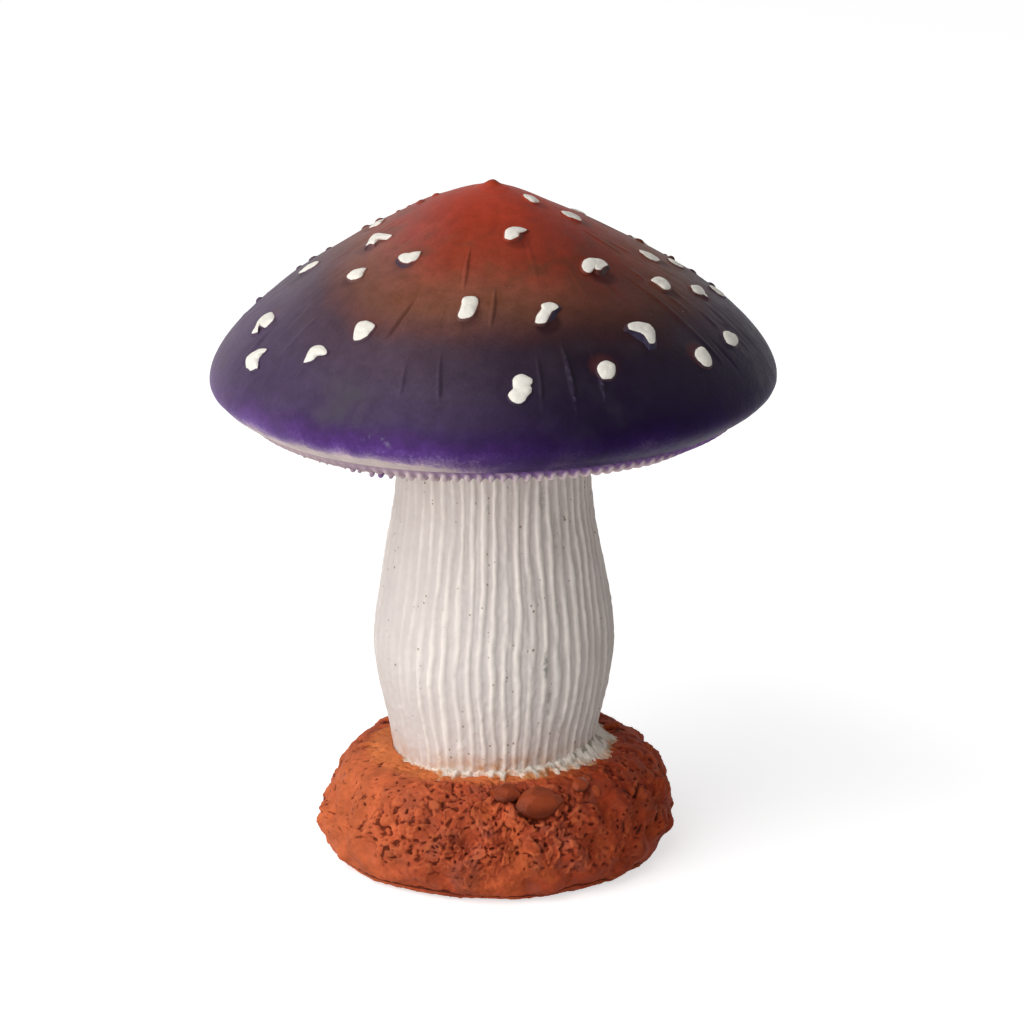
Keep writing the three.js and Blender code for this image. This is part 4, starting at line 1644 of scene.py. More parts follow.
@dataclass
class Warts:
    """The white warts: bumps on the dome with thick paint on their upper sides."""

    cap: Cap
    paint: Material
    sides: int = 96
    top_rings: int = 16
    skirt_rings: int = 9
    skirt_width: float = 0.5
    skyline_rise: float = 0.6
    knob_sides: int = 40
    knob_rings: int = 22
    knob_reach: float = 2.2
    knob_fade: float = 0.26
    seed: int = 23

    @cached_property
    def found(self) -> list[Wart]:
        """Every wart of the CAD model, with its dab from the photograph or one drawn from the patterns."""
        draw = np.random.default_rng(self.seed)
        names = sorted(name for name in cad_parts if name.startswith("wart_"))
        return [self._measured(name, number, draw) for number, name in enumerate(names, 1)]

    def _measured(self, name: str, number: int, draw: np.random.Generator) -> Wart:
        """Reads a wart's place, size and lean from its node.

        Args:
            name: The CAD node.
            number: The wart's number.
            draw: The source of what the photograph doesn't show.

        Returns:
            The wart.
        """
        length, angle = self.cap.along(node_points(name))
        middle = math.atan2(np.sin(angle).mean(), np.cos(angle).mean())
        along = float(length.max() + length.min()) / 2
        radius = float(self.cap.outline.at(along)[0])
        spread = np.stack((wrapped(angle - middle) * radius, length - along), axis=1)
        _, axes = np.linalg.eigh(np.cov(spread.T))
        wide, long = np.ptp(spread @ axes, axis=0) / 2
        lean = math.degrees(math.atan2(axes[0, 1], axes[1, 1]))
        pattern = FRONT_DABS[PATTERNS[draw.integers(len(PATTERNS))]].outline
        fitted = self._fitted(np.array(pattern), long, wide, math.radians(lean))
        drawn = Dab(fitted, 0.0, 0.2, draw.uniform(0, 0.4), self.skyline_rise)
        return Wart(name, math.degrees(middle), along, long, wide, lean, FRONT_DABS.get(number, drawn))

    @staticmethod
    def _fitted(pattern: Array, long: float, wide: float, lean: float) -> tuple[tuple[float, float], ...]:
        """Scales and turns an outline to the size and lean of another wart.

        Args:
            pattern: The outline.
            long: Half the length.
            wide: Half the width.
            lean: The turn of the length from the slope, in radians.

        Returns:
            The fitted outline.
        """
        centred = pattern - pattern.mean(axis=0)
        _, _, axes = np.linalg.svd(centred, full_matrices=False)
        shaped = centred @ axes.T
        shaped = shaped / np.abs(shaped).max(axis=0) * (long, wide)
        turned = ((math.sin(lean), math.cos(lean)), (math.cos(lean), -math.sin(lean)))
        return tuple(map(tuple, shaped @ np.array(turned)))

    def build(self) -> None:
        """Builds every wart, and the knob on the crown."""
        for number, wart in enumerate(self.found):
            self._bump(wart, number)
        self._knob()

    def _bump(self, wart: Wart, number: int) -> None:
        """Builds one wart.

        Args:
            wart: Its place and form.
            number: Its number, for its seed.
        """
        edge = closed_curve(np.array(wart.dab.outline), self.sides)
        following = np.roll(edge, -1, axis=0)
        if (edge[:, 0] * following[:, 1] - edge[:, 1] * following[:, 0]).sum() > 0:
            edge = edge[::-1]
        middle = edge.mean(axis=0)
        spokes = edge - middle
        size = np.hypot(*spokes.T)
        heading = spokes / size[:, None]
        shade = math.radians(wart.dab.shade)
        lee = wart.dab.bare * np.clip(heading @ (math.sin(shade), math.cos(shade)) + 0.15, 0, 1)
        inside = np.concatenate((np.linspace(0, 1, self.top_rings), np.ones(self.skirt_rings)))[:, None]
        falling = np.linspace(0, 1, self.skirt_rings + 1)[1:]
        skirt = np.concatenate((np.zeros(self.top_rings), falling))[:, None]
        apron = skirt * self.skirt_width * (1 + 2.0 * lee)
        flat = middle + spokes * inside[..., None] + heading * apron[..., None]
        aside, down = flat[..., 0], flat[..., 1]
        length = wart.along + down
        angle = math.radians(wart.around) + aside / np.maximum(self.cap.outline.at(length)[0], 2.0)
        own_place = np.stack((down, aside, np.full_like(down, 7.0 * number)), axis=-1)
        lumpy = soft_noise(own_place, 1.4, self.seed, 2)
        lip = 0.35 + 0.55 * lee
        pillow = lip + (1 - lip) * np.clip(1 - inside**2.6, 0, 1) ** 0.7
        rise = wart.dab.rise * pillow * (1 - ease(0, 1, skirt)) - 0.18 * ease(0.5, 1, skirt)
        rise += 0.09 * lumpy * (1 - ease(0.4, 1, skirt))
        top = self.cap.surface(length, angle, rise)
        floor = self.cap.surface(length[-1:], angle[-1:], -1.0).mean(axis=1, keepdims=True)
        grid = np.concatenate((np.repeat(floor, self.sides, axis=1), top[::-1]))
        mesh = sheet_mesh(f"{wart.node}_bump", grid)
        fields = self.cap.colours(length, angle)
        fields["paint"] = (1 - inside) * size - apron
        # Where the bare underside is darkened as painted shade
        fields["under"] = 1.1 * lee * ease(0, 0.25, skirt) * (1 - ease(0.65, 1, skirt))
        fields["halo"] = 0.15 * wart.dab.halo * np.ones_like(length)
        for label, values in fields.items():
            mark(mesh, label, ring_values(np.concatenate((values[-1:], values[::-1]))))
        hand_over(new_piece(f"{wart.node}_bump", mesh, self.paint), Slot.WART, wart.node)

    def _knob(self) -> None:
        """Builds the small knob on the crown in the cap's paint."""
        low, high = node_box("crown_knob")
        radius, top = (high[0] - low[0]) / 2, high[2]
        base = float(self.cap.outline.points[0, 1])
        reach = np.linspace(self.knob_reach, 0, self.knob_rings)[:, None]
        turn = np.arange(self.knob_sides) / self.knob_sides * FULL_TURN
        uneven = 1 + 0.12 * np.sin(2 * turn + 0.6) + 0.08 * np.sin(3 * turn + 2.0)
        bell = hump(reach, 0.0, 0.72)
        rise = 0.74 * (top - base) * bell * (1 - 0.3 * ease(0.2, 0.8, reach) * np.sin(turn + 1))
        away = reach * radius * uneven
        dome = self.cap.outline.points[:self.cap.dome_steps]
        skin = np.interp(away, dome[:, 0], dome[:, 1]) - self.cap.sag(away, turn)
        body = spot(away, turn, skin + rise - 0.3 * ease(1.4, self.knob_reach, reach))
        floor = np.repeat(np.array([[[0.0, 0.0, base - 1.0]]]), self.knob_sides, axis=1)
        mesh = sheet_mesh("crown_knob_tip", np.concatenate((floor, body)))
        rings = [np.full(self.knob_sides, self.knob_fade * share) for share in bell[:-1, 0]]
        mark(mesh, "fade", np.concatenate(([0.0], *rings, [self.knob_fade])))
        hand_over(new_piece("crown_knob_tip", mesh, self.cap.paint), Slot.CAP, "crown_knob")


# Gills

@dataclass
class Gills:
    """The gill disc under the cap, with beaded ends over the stem."""

    cap: Cap
    paint: Material
    trees: GrowingTrees
    count: float = 132.0
    height: float = 1.0
    thickness: float = 3.7
    swell: float = 2.8
    edge_width: float = 4.0
    land_drop: float = 0.7
    root_radius: float = 20.9
    columns: int = 1344
    rows: int = 60
    curve_steps: int = 60
    bead_radius: float = 46.2
    bead_size: float = 0.6
    seed: int = 31

    def build(self) -> None:
        """Builds the ridged disc, which meets the cap's lip, and the beads at its lowest line."""
        radius = node_box("gill_disc")[1][0]
        lip = node_box("cap")[0][2]
        top = lip + self.thickness
        land = lip - self.land_drop
        lowest = lip - self.swell + self.height / 2
        swell_radius = radius - self.edge_width
        inner = np.linspace(self.root_radius, swell_radius, self.curve_steps)
        rise = ease(self.root_radius, swell_radius, inner)
        slope = np.stack((inner, land + (lowest - land) * rise), axis=1)
        swing = np.linspace(0, math.pi / 2, self.curve_steps)[1:]
        edge = np.stack((
            swell_radius + self.edge_width * np.sin(swing),
            lip + (lowest - lip) * np.cos(swing),
        ), axis=1)
        outline = Outline(np.vstack((slope, edge)))
        end = outline.lengths[-1]
        rows = np.linspace(0, end, self.rows)
        grid = TurnedGrid(outline, rows, front_heavy(self.columns, 0.0))
        below = ((0, land + 0.4), (self.root_radius - 2, land + 0.2))
        ends = (*below, (radius, top), (radius / 2, top), (0, top))
        rings = [spot(r, grid.angles, z + self.cap.rim_rise(r, grid.angles))[None] for r, z in ends]
        skin = grid.places.copy()
        skin[..., 2] += self.cap.rim_rise(grid.radii[:, None], grid.angles)
        mesh = sheet_mesh("gill_ridges", np.concatenate((*rings[:2], skin, *rings[2:])))
        degrees = grid.degrees
        middle = ease(-34, -12, degrees) * (1 - ease(38, 52, degrees))
        out = ease(end - 5.5, end - 2.5, rows)[:, None]
        inside = 1 - ease(end - 1.0, end, rows)
        relief = ease(0, 3, rows)[:, None] * (1 - 0.7 * out * (1 - middle)) * inside[:, None]
        right = ease(-26, 4, degrees) * (1 - ease(150, 180, degrees))
        start = end - 4.5 - 2.0 * ease(38, 60, degrees)
        spray = (0.1 + 0.9 * right) * ease(0, 1, (rows[:, None] - start) / 4.0)
        spray = spray + 0.25 * hump(degrees, -28, 13) * out
        blank = np.zeros((3, self.columns))
        for label, values in (("relief", relief), ("overspray", np.clip(spray, 0, 1))):
            mark(mesh, label, ring_values(np.concatenate((blank[:2], values, blank))))
        piece = new_piece("gill_ridges", mesh, self.paint)
        shape = {"Count": self.count, "Height": self.height * MM, "Sharpness": 1.1, "Wander": 0.03}
        grow(piece, self.trees.ridges, {**shape, "Unevenness": 0.25, "Material": self.paint})
        hand_over(piece, Slot.GILL, "gill_disc")
        self._beads(lip - self.swell + 0.2)

    def _beads(self, level: float) -> None:
        """Builds the rounded ends of the gills.

        Args:
            level: Height of the disc's lowest line.
        """
        draw = np.random.default_rng(self.seed)
        count = int(self.count)
        angle = np.arange(count) / count * FULL_TURN + draw.normal(0, 0.004, count)
        away = self.bead_radius + draw.normal(0, 0.3, count)
        points = spot(away, angle, level + self.cap.rim_rise(away, angle) + draw.normal(0, 0.1, count))
        degrees = np.degrees(wrapped(angle))
        hidden = 1 - ease(-44, -30, degrees) + ease(26, 48, degrees)
        size = self.bead_size * draw.uniform(0.75, 1.1, count) * (1 - 0.4 * np.clip(hidden, 0, 1))
        mauve = (0.25 + 0.6 * hump(degrees, -30, 13)) * draw.uniform(0.6, 1.2, count)
        pale = draw.uniform(0.2, 0.5, count)
        kept = (degrees < -10) | (degrees > 100)
        out = spot(0.5, angle, -0.87 * np.ones(count))
        piece = scattered("gill_beads", points[kept], size[kept], out[kept], self.paint)
        mark(piece.data, "overspray", mauve[kept])
        mark(piece.data, "ridge", pale[kept])
        grow(piece, self.trees.lumps, {"Flatness": 1.3, "Seed": self.seed, "Material": self.paint})
        hand_over(piece, Slot.GILL)


# Stem

STEM_STAINS = stamp_list(
    (25.6, 26.5, 4.2, 0.8, 0.0, 0.75),
    (28.6, 18.5, 4.6, 0.7, 0.0, 0.70),
    (36.5, 12.0, 3.8, 0.8, 0.0, 0.60),
    (-3.0, 58.0, 2.2, 0.5, 0.0, 0.45),
    (30.0, 60.0, 4.5, 0.8, 0.0, 0.45),
    (38.0, 52.0, 5.5, 0.9, 0.0, 0.45),
    (33.0, 37.0, 4.0, 0.7, 0.0, 0.40),
)


@dataclass
class Stem:
    """The ribbed stem with its swelling belly."""

    paint: Material
    trees: GrowingTrees
    foot: float = 19.3
    length: float = 73.0
    foot_radius: float = 20.2
    belly_radius: float = 23.9
    belly_height: float = 24.5
    neck_radius: float = 19.2
    neck_length: float = 12.0
    rib_count: float = 56.0
    cross_count: float = 43.0
    rib_height: float = 0.7
    columns: int = 480
    rows: int = 196
    seed: int = 41

    def radius(self, height: Array) -> Array:
        """Radius of the valleys at a height above the foot.

        Args:
            height: The height.

        Returns:
            The radius.
        """
        growth = ease(0, self.belly_height, height)
        swelling = self.foot_radius + (self.belly_radius - self.foot_radius) * growth
        slimming = ease(self.belly_height, self.length - self.neck_length, height)
        slim = self.belly_radius + (self.neck_radius - self.belly_radius) * slimming
        return np.where(height < self.belly_height, swelling, slim)

    def build(self) -> None:
        """Builds the ribbed shaft."""
        fine = np.linspace(0, self.length, 400)
        outline = Outline(np.stack((self.radius(fine), self.foot + fine), axis=1))
        rows = np.linspace(0, outline.lengths[-1], self.rows)
        grid = TurnedGrid(outline, rows, front_heavy(self.columns, 0.45))
        height = np.interp(rows, outline.lengths, fine)
        lumps = np.minimum(0.25 * soft_noise(grid.places, 14.0, self.seed, 2), 0.1)
        crumbly = 0.09 * soft_noise(grid.places, 0.9, self.seed + 3, 2)
        shaft = grid.lifted(lumps + crumbly, -1.0)
        turns = np.ones(self.columns)
        poles = [spot(0 * turns, grid.angles, z * turns)[None] for z in (self.foot, self.foot + self.length)]
        mesh = sheet_mesh("stem_ribs", np.concatenate((poles[0], shaft, poles[1])))
        degrees = grid.degrees
        worn = 0.72 * hump(degrees, -64, 26) + 0.4 * hump(degrees, 85, 22)
        level = np.ones((self.rows, self.columns))
        upright = height[:, None] * level
        front = hump(degrees, -4, 34)
        strong = 0.75 + 0.4 * soft_noise(grid.places * (1.0, 1.0, 0.12), 2.6, self.seed + 1, 2)
        fields = {
            "relief": (1 - worn) * np.clip(strong, 0.3, 1.0),
            "stain": np.clip(grid.stamped(STEM_STAINS), 0, 1),
            "foot": (0.4 + 0.6 * hump(degrees, 4, 24)) * (1 - ease(3.5, 8.5, upright)),
            "overspray": 0.35 * ease(self.length - 2.2, self.length - 0.3, upright)
            + 0.65 * front * ease(self.length - 5.5, self.length - 1.0, upright),
        }
        for label, values in fields.items():
            mark(mesh, label, ring_values(np.concatenate((values[:1], values, values[-1:]))))
        piece = new_piece("stem_ribs", mesh, self.paint)
        shape = {"Count": self.rib_count, "Height": self.rib_height * MM, "Sharpness": 1.25, "Wander": 0.2}
        crossing = {"Cross Count": self.cross_count, "Cross": 0.55, "Fine Wander": 0.085}
        grow(piece, self.trees.ridges, {**shape, **crossing, "Unevenness": 0.5, "Material": self.paint})
        hand_over(piece, Slot.STEM, "stem")


# Mound

# How far the filler reaches beyond the stem and how high it climbs on it, by degrees from the front
FILLER_REACH = [
    (-180, 2.5), (-120, 1.5), (-95, 0.4), (-66, 0.6), (-45, 2.6), (-20, 4.2), (0, 5.0),
    (20, 4.8), (40, 5.0), (60, 5.2), (80, 5.2), (105, 4.5), (130, 3.0), (180, 2.5),
]
FILLER_CLIMB = [
    (-180, 1.2), (-120, 0.8), (-90, 0.0), (-60, 0.1), (-40, 0.5), (0, 0.7),
    (30, 1.2), (60, 3.0), (85, 4.4), (105, 4.8), (135, 2.5), (180, 1.2),
]
FILLER_EXTENT = [
    (-180, 0.5), (-60, 0.4), (-35, 0.6), (-16, 0.65), (-9, 0.3), (-2, 0.25), (4, 0.7),
    (30, 0.7), (50, 0.95), (115, 0.95), (180, 0.5),
]
SOIL_MARKS = stamp_list(
    (67.0, 14.2, 1.9, 1.05, 0.0, -0.65),
    (60.5, 20.6, 3.4, 0.55, 68.0, -0.40),
    (60.5, 21.6, 3.4, 0.60, 68.0, 0.30),
    (66.0, 17.6, 2.2, 0.50, 20.0, 0.30),
    (55.0, 13.0, 1.6, 0.60, 70.0, -0.35),
    (41.0, 24.0, 1.5, 1.10, 0.0, 0.45),
    (35.0, 25.0, 1.2, 0.90, 0.0, 0.40),
    (-63.0, 22.0, 2.4, 0.45, 55.0, -0.35),
    (-71.0, 16.0, 2.0, 0.45, 60.0, -0.30),
    (122.0, 33.0, 2.6, 2.2, 0.0, 0.80),
    (110.0, 30.0, 2.0, 1.8, 0.0, 0.60),
    (-88.0, 12.2, 1.9, 1.6, 0.0, 0.70),
    (-86.0, 8.8, 1.7, 1.5, 0.0, 0.70),
    (-80.0, 5.4, 1.9, 1.6, 0.0, 0.55),
    (14.0, 24.6, 5.4, 3.6, 110.0, -0.60),
    (3.5, 27.6, 3.4, 2.2, 128.0, -0.40),
)
# Painted shade in the gaps round the pebbles
PEBBLE_GAP_SHADE = stamp_list(
    (14.5, 24.0, 6.2, 4.6, 100.0, 1.6),
    (4.0, 26.6, 4.2, 3.0, 118.0, 1.4),
)
# How much longer, wider and thicker each pebble looks than its smooth core
PEBBLE_SCALES = {
    "large_pebble": (1.25, 1.2, 1.15),
    "small_pebble": (1.3, 1.4, 1.2),
    "grit_pebble": (1.25, 1.25, 1.25),
}
# How far the long axis of each pebble is turned up at the right, in degrees
PEBBLE_TURNS = {"large_pebble": 26.0, "small_pebble": 30.0, "grit_pebble": 0.0}
# Waves that make the clods: how many go round, radians for a millimetre of height, and the start
CLOD_WAVES = ((17, 0.62, 0.0), (23, -0.5, 2.0), (27, 0.35, 4.0))


@dataclass
class Mound:
    """The soil mound, with its folds, pits and crumbs, the filler round the stem and the pebbles."""

    soil_paint: Material
    filler_paint: Material
    pebble_paint: Material
    trees: GrowingTrees
    foot_radius: float = 30.6
    belly_radius: float = 36.0
    belly_height: float = 6.5
    side_rise: float = 7.5
    shoulder_reach: float = 6.7
    crest_radius: float = 25.2
    height: float = 22.3
    groove: float = 0.2
    stem_radius: float = 20.6
    relief: float = 0.7
    clods: float = 0.85
    slump: float = 4.4
    crest_slump: float = 2.2
    draw_in: float = 1.2
    back_slump: float = 1.0
    collar: float = 1.5
    slump_bearing: float = -100.0
    back_bearing: float = 125.0
    shoulder: float = 0.55
    belly_steps: int = 60
    side_steps: int = 240
    columns: int = 570
    rows: int = 170
    slit_count: int = 240
    lump_count: int = 300
    pinhole_count: int = 90
    filler_columns: int = 840
    filler_rows: int = 30
    pebble_sides: int = 120
    pebble_rings: int = 60
    pebble_facets: int = 9
    seed: int = 53

    @cached_property
    def outline(self) -> Outline:
        """The outer curve from the ground over the belly to the crest and down to the stem."""
        swing = np.linspace(0, math.pi / 2, self.belly_steps)
        edge = np.stack((
            self.foot_radius + (self.belly_radius - self.foot_radius) * np.sin(swing),
            self.belly_height * (1 - np.cos(swing)),
        ), axis=1)
        side = bezier((
            (self.belly_radius, self.belly_height),
            (self.belly_radius, self.belly_height + self.side_rise),
            (self.crest_radius + self.shoulder_reach, self.height),
            (self.crest_radius, self.height),
        ), self.side_steps)
        return Outline(np.vstack((edge, side[1:], [(self.stem_radius, self.height - self.groove)])))

    @property
    def shoulder_height(self) -> float:
        """Height at which the side turns towards the crest."""
        return self.belly_height + self.shoulder * (self.height - self.belly_height)

    def sunk(self, angle: Array, height: Array) -> Array:
        """How far the soil has sunk on the mound's low side: most on the shoulder, less at the crest.

        Args:
            angle: Angle from the front.
            height: Height on the bare outline.

        Returns:
            Millimetres down.
        """
        side = facing(angle, self.slump_bearing) ** 3
        crest = ease(self.shoulder_height, self.height, height)
        depth = self.slump + (self.crest_slump - self.slump) * crest
        back = self.back_slump * facing(angle, self.back_bearing) ** 3 * crest
        return side * depth * ease(self.belly_height, self.shoulder_height, height) + back

    def drawn(self, angle: Array, height: Array) -> Array:
        """How far the low side is drawn in, from nothing at the ground and at the crest."""
        share = ease(0, self.belly_height, height) * (1 - ease(self.shoulder_height, self.height, height))
        return self.draw_in * facing(angle, self.slump_bearing) ** 3 * share

    def top(self, radius: Array, angle: Array) -> Array:
        """Height of the soil inside the belly.

        Args:
            radius: Distance from the axis.
            angle: Angle from the front.

        Returns:
            The height.
        """
        side = self.outline.points[self.belly_steps:][::-1]
        height = np.interp(radius, side[:, 0], side[:, 1])
        return height - self.sunk(angle, height) + self.heaped(radius, angle)

    def heaped(self, radius: Array, angle: Array) -> Array:
        """How far the soil climbs on the stem at the left."""
        side = hump(np.degrees(wrapped(angle)), -80, 30)
        return self.collar * side * (1 - ease(self.stem_radius, self.crest_radius + 0.5, radius))

    def build(self) -> None:
        """Builds the soil and its crumbs, the filler and the pebbles."""
        self._soil()
        self._filler()
        for number, name in enumerate(PEBBLE_TURNS):
            self._pebble(name, number)

    def _soil(self) -> None:
        """Builds the soil and its crumbs."""
        rows = np.linspace(0, self.outline.lengths[-1], self.rows)
        grid = TurnedGrid(self.outline, rows, front_heavy(self.columns, 0.62))
        radius, height = self.outline.at(rows)
        broad, fine = self._relief(grid)
        skin = grid.lifted(broad + fine, -1.0)
        skin[..., :2] *= 1 - (self.drawn(grid.angles[None], height[:, None]) / radius[:, None])[..., None]
        skin[..., 2] -= self.sunk(grid.angles[None], height[:, None])
        skin[..., 2] += self.heaped(radius[:, None], grid.angles[None])
        skin[..., 2] = np.maximum(skin[..., 2], 0.0)
        turns = np.ones(self.columns)
        head = [spot(r * turns, grid.angles, 0 * turns) for r in (0.0, self.foot_radius - 1.0)]
        floor = self.height - self.groove - self.slump
        tail = [spot(r * turns, grid.angles, floor * turns) for r in (self.stem_radius - 1.0, 0.0)]
        mesh = sheet_mesh("soil_mound", np.concatenate((np.stack(head), skin, np.stack(tail))))
        degrees = grid.degrees
        share = ease(3, 7, height) * ease(self.crest_radius - 0.5, self.crest_radius + 1.5, radius)
        level = np.ones((self.rows, self.columns))
        # Painted shade along the groove at the bottom edge
        groove_shade = 1.1 * hump(self._above_groove(grid), 0.0, 0.35)
        fields = {
            # Darkens the pits, the gaps round the pebbles and the groove as painted shade, and lightens fold
            # edges as painted highlights
            "cavity": (fine - smoothed(fine, 22, 12)) / 0.24 - grid.stamped(PEBBLE_GAP_SHADE) - groove_shade,
            "glow": self._crest_glow(grid),
            # Warmer at the left, partly the soil's own colour and partly painted light
            "warm_and_lit": hump(degrees, -72, 40) * level,
            "shade": ease(15, 55, degrees) * (1 - ease(120, 180, degrees)) * level,
            "crumb": share[:, None] * level,
        }
        blank = np.zeros((2, self.columns))
        for label, values in fields.items():
            mark(mesh, label, ring_values(np.concatenate((blank, values, blank))))
        piece = new_piece("soil_mound", mesh, self.soil_paint)
        self._crumbs(piece)
        hand_over(piece, Slot.SOIL, "base_mound")

    def _above_groove(self, grid: TurnedGrid) -> Array:
        """Length from the ragged groove along the mound's bottom edge, upwards."""
        middle = 4.1 + 0.5 * np.sin(2 * grid.angles + 1.0)
        return grid.rows[:, None] - middle + 0.7 * soft_noise(grid.places, 5.0, self.seed + 8, 3)

    def _crest_glow(self, grid: TurnedGrid) -> Array:
        """Orange paint round the stem's foot, widest at the front left.

        Args:
            grid: The outer grid.

        Returns:
            How strongly it shows at each point.
        """
        radius = grid.radii[:, None]
        height = self.outline.at(grid.rows)[1][:, None]
        degrees = grid.degrees
        reach = 1.8 + 1.6 * hump(degrees, -45, 42) + 0.9 * hump(degrees, 1, 12)
        wobble = 1.0 * soft_noise(grid.places, 3.0, self.seed + 9, 3)
        near = 1 - ease(0, 1, (radius - self.crest_radius + 1.0 + wobble) / reach[None])
        return 0.85 * near * ease(14, 19, height) * (1 - 0.85 * ease(15, 50, degrees))

    def _relief(self, grid: TurnedGrid) -> tuple[Array, Array]:
        """The soil's shape.

        Args:
            grid: The outer grid.

        Returns:
            The broad swells, and the folds, pits and lumps on them.
        """
        rows = grid.rows[:, None]
        height = self.outline.at(grid.rows)[1][:, None]
        angle = grid.angles[None]
        fall = np.clip(1 - height / self.height, 0, 1)
        waves = np.sin(3 * angle + 0.8) + np.sin(7 * angle + height / 2) + np.sin(13 * angle - height)
        broad = self.relief * waves / 2 * fall * ease(0.0, 3.0, height)
        clods = sum(np.sin(count * angle + lean * height + start) / 2 for count, lean, start in CLOD_WAVES)
        standing = ease(0, self.belly_height, height) * (1 - ease(self.shoulder_height, self.height, height))
        broad = broad + self.clods * clods * standing
        worn = 1 - 0.5 * ease(32.0, 35.0, rows)
        rough = (0.3 * ease(0.5, 3.0, rows) + 0.7 * ease(5.5, 13.0, rows)) * worn
        stamps = grid.stamped(self._stamps(), 1.5)
        fine = rough * (self._folds(grid.places, grid.degrees, rows) + stamps) + grid.stamped(SOIL_MARKS, 1.5)
        fine += (1 - 0.7 * rough) * 0.12 * soft_noise(grid.places, 1.6, self.seed + 3, 3)
        fine += (1 - 0.7 * rough) * 0.06 * soft_noise(grid.places, 0.6, self.seed + 4, 2)
        above = self._above_groove(grid)
        fine += 0.20 * hump(above, -1.0, 0.5) - 0.26 * hump(above, -0.2, 0.4)
        return broad, fine * ease(0.0, 0.8, rows)

    def _folds(self, places: Array, degrees: Array, rows: Array) -> Array:
        """Torn steps of clay, busiest at the front and left of the middle.

        Args:
            places: Points of the mound.
            degrees: Their angles from the front.
            rows: Their lengths from the ground.

        Returns:
            The rise at each point.
        """
        drift = np.stack([soft_noise(places, 3.5, self.seed + step) for step in (11, 12, 13)], axis=-1)
        warped = places + 0.9 * drift
        belt = hump(degrees, -10, 44) * hump(rows, 18, 8)
        calm = hump(degrees, -82, 26) + 0.5 * hump(degrees, 78, 24)
        busy = 0.7 * soft_noise(places, 5.5, self.seed + 14) + 0.6 * belt - 0.6 * calm
        broken = ease(-0.3, 0.6, busy)
        torn = 0.16 * soft_noise(warped, 3.4, self.seed + 17, 2)
        for step, (size, drop) in enumerate(((2.4, 0.50), (1.3, 0.32), (0.75, 0.16))):
            torn = torn + drop * (ease(-0.10, 0.10, soft_noise(warped, size, self.seed + 40 + step, 2)) - 0.5)
        grains = 0.07 * soft_noise(places, 0.7, self.seed + 18, 2)
        return grains + (0.3 + 0.7 * broken) * torn

    def _stamps(self) -> list[Stamp]:
        """Slits, lumps and pinholes: slanting slits at the left, pinholes at the right.

        Returns:
            The stamps.
        """
        draw = np.random.default_rng(self.seed)
        stamps = []
        for _ in range(self.slit_count):
            around, along, long = draw.uniform(-180, 180), draw.triangular(8, 16, 33), draw.uniform(0.3, 0.85)
            wide, lean, deep = draw.uniform(0.18, 0.32), draw.normal(128, 24), draw.uniform(0.2, 0.55)
            stamps.append(Stamp(around, along, long, wide, lean, -deep))
        for _ in range(self.lump_count):
            around, along, long = draw.uniform(-180, 180), draw.uniform(10, 34), draw.uniform(0.7, 1.8)
            wide, lean, rise = long * draw.uniform(0.5, 0.8), draw.normal(110, 35), draw.uniform(0.08, 0.25)
            stamps.append(Stamp(around, along, long, wide, lean, rise))
        for _ in range(self.pinhole_count):
            around, along, size = draw.normal(62, 22), draw.uniform(9, 30), draw.uniform(0.25, 0.5)
            stamps.append(Stamp(around, along, size, size, 0.0, -draw.uniform(0.2, 0.5)))
        return stamps

    def _crumbs(self, mound: Piece) -> None:
        """Builds crumbs of soil on the finished mound.

        Args:
            mound: The mound.
        """
        piece = new_piece("soil_crumbs", mound.data.copy(), self.soil_paint)
        sizes = {"Density": 30000.0, "Smallest": 0.12 * MM, "Largest": 0.34 * MM}
        grow(piece, self.trees.crumbs, {**sizes, "Seed": self.seed, "Material": self.soil_paint})
        hand_over(piece, Slot.SOIL)

    def _filler(self) -> None:
        """Builds the ragged ring of filler between the stem and the soil."""
        angle = front_heavy(self.filler_columns, 0.45)
        degrees = np.degrees(wrapped(angle))
        ringed = spot(np.full_like(angle, 24.0), angle, 0 * angle)
        swung = 56 * angle + 3 * soft_noise(ringed, 9.0, self.seed + 20)
        fingers = (0.5 + 0.5 * np.cos(swung)) * (0.6 + 0.8 * soft_noise(ringed, 3.0, self.seed + 21))
        wide = by_angle(FILLER_REACH, degrees)
        inner = self.stem_radius - 0.3
        reach = inner + 0.6 + wide
        share = np.linspace(0, 1, self.filler_rows)[:, None]
        radius = inner + (reach - inner) * share
        soil = self.top(radius, angle)
        right = ease(20, 60, degrees) * (1 - ease(120, 170, degrees))
        extent = by_angle(FILLER_EXTENT, degrees) + 0.45 * (fingers - 0.25) * (1 - right)
        extent = extent + 0.5 * soft_noise(ringed, 3.4, self.seed + 22, 4)
        spent = share / np.clip(extent, 0.12, 0.95)
        climb = by_angle(FILLER_CLIMB, degrees) * (0.9 + 0.15 * fingers)
        left = hump(degrees, -84, 28)
        ridges = 0.2 * fingers * ease(0.0, 0.2, share) * (1 - 0.8 * right)
        fringe = (1 - left) * (0.22 + ridges) * (1 - ease(0.4, 1.0, spent))
        thick = climb * (1 - share) ** 2.5 + fringe - 0.4 * left
        places = spot(radius, angle, soil)
        rough = soft_noise(places, 1.2, self.seed + 23, 3) * (1 - ease(0.8, 1.1, spent)) * (1 - 0.9 * left)
        top = spot(radius, angle, soil + thick + 0.42 * rough - 0.45 * ease(0.85, 1.2, spent))
        bottom = spot(radius, angle, soil - 1.2)
        mesh = sheet_mesh("filler_fringe", np.concatenate((bottom, top[::-1])), poles=False)
        level = np.ones_like(radius)
        edge = ease(0.4, 1.0, spent) + 0.8 * (1 - fingers) * ease(0.1, 0.4, share) * (1 - right) + left
        edge = np.clip(edge, 0, 1)[::-1]
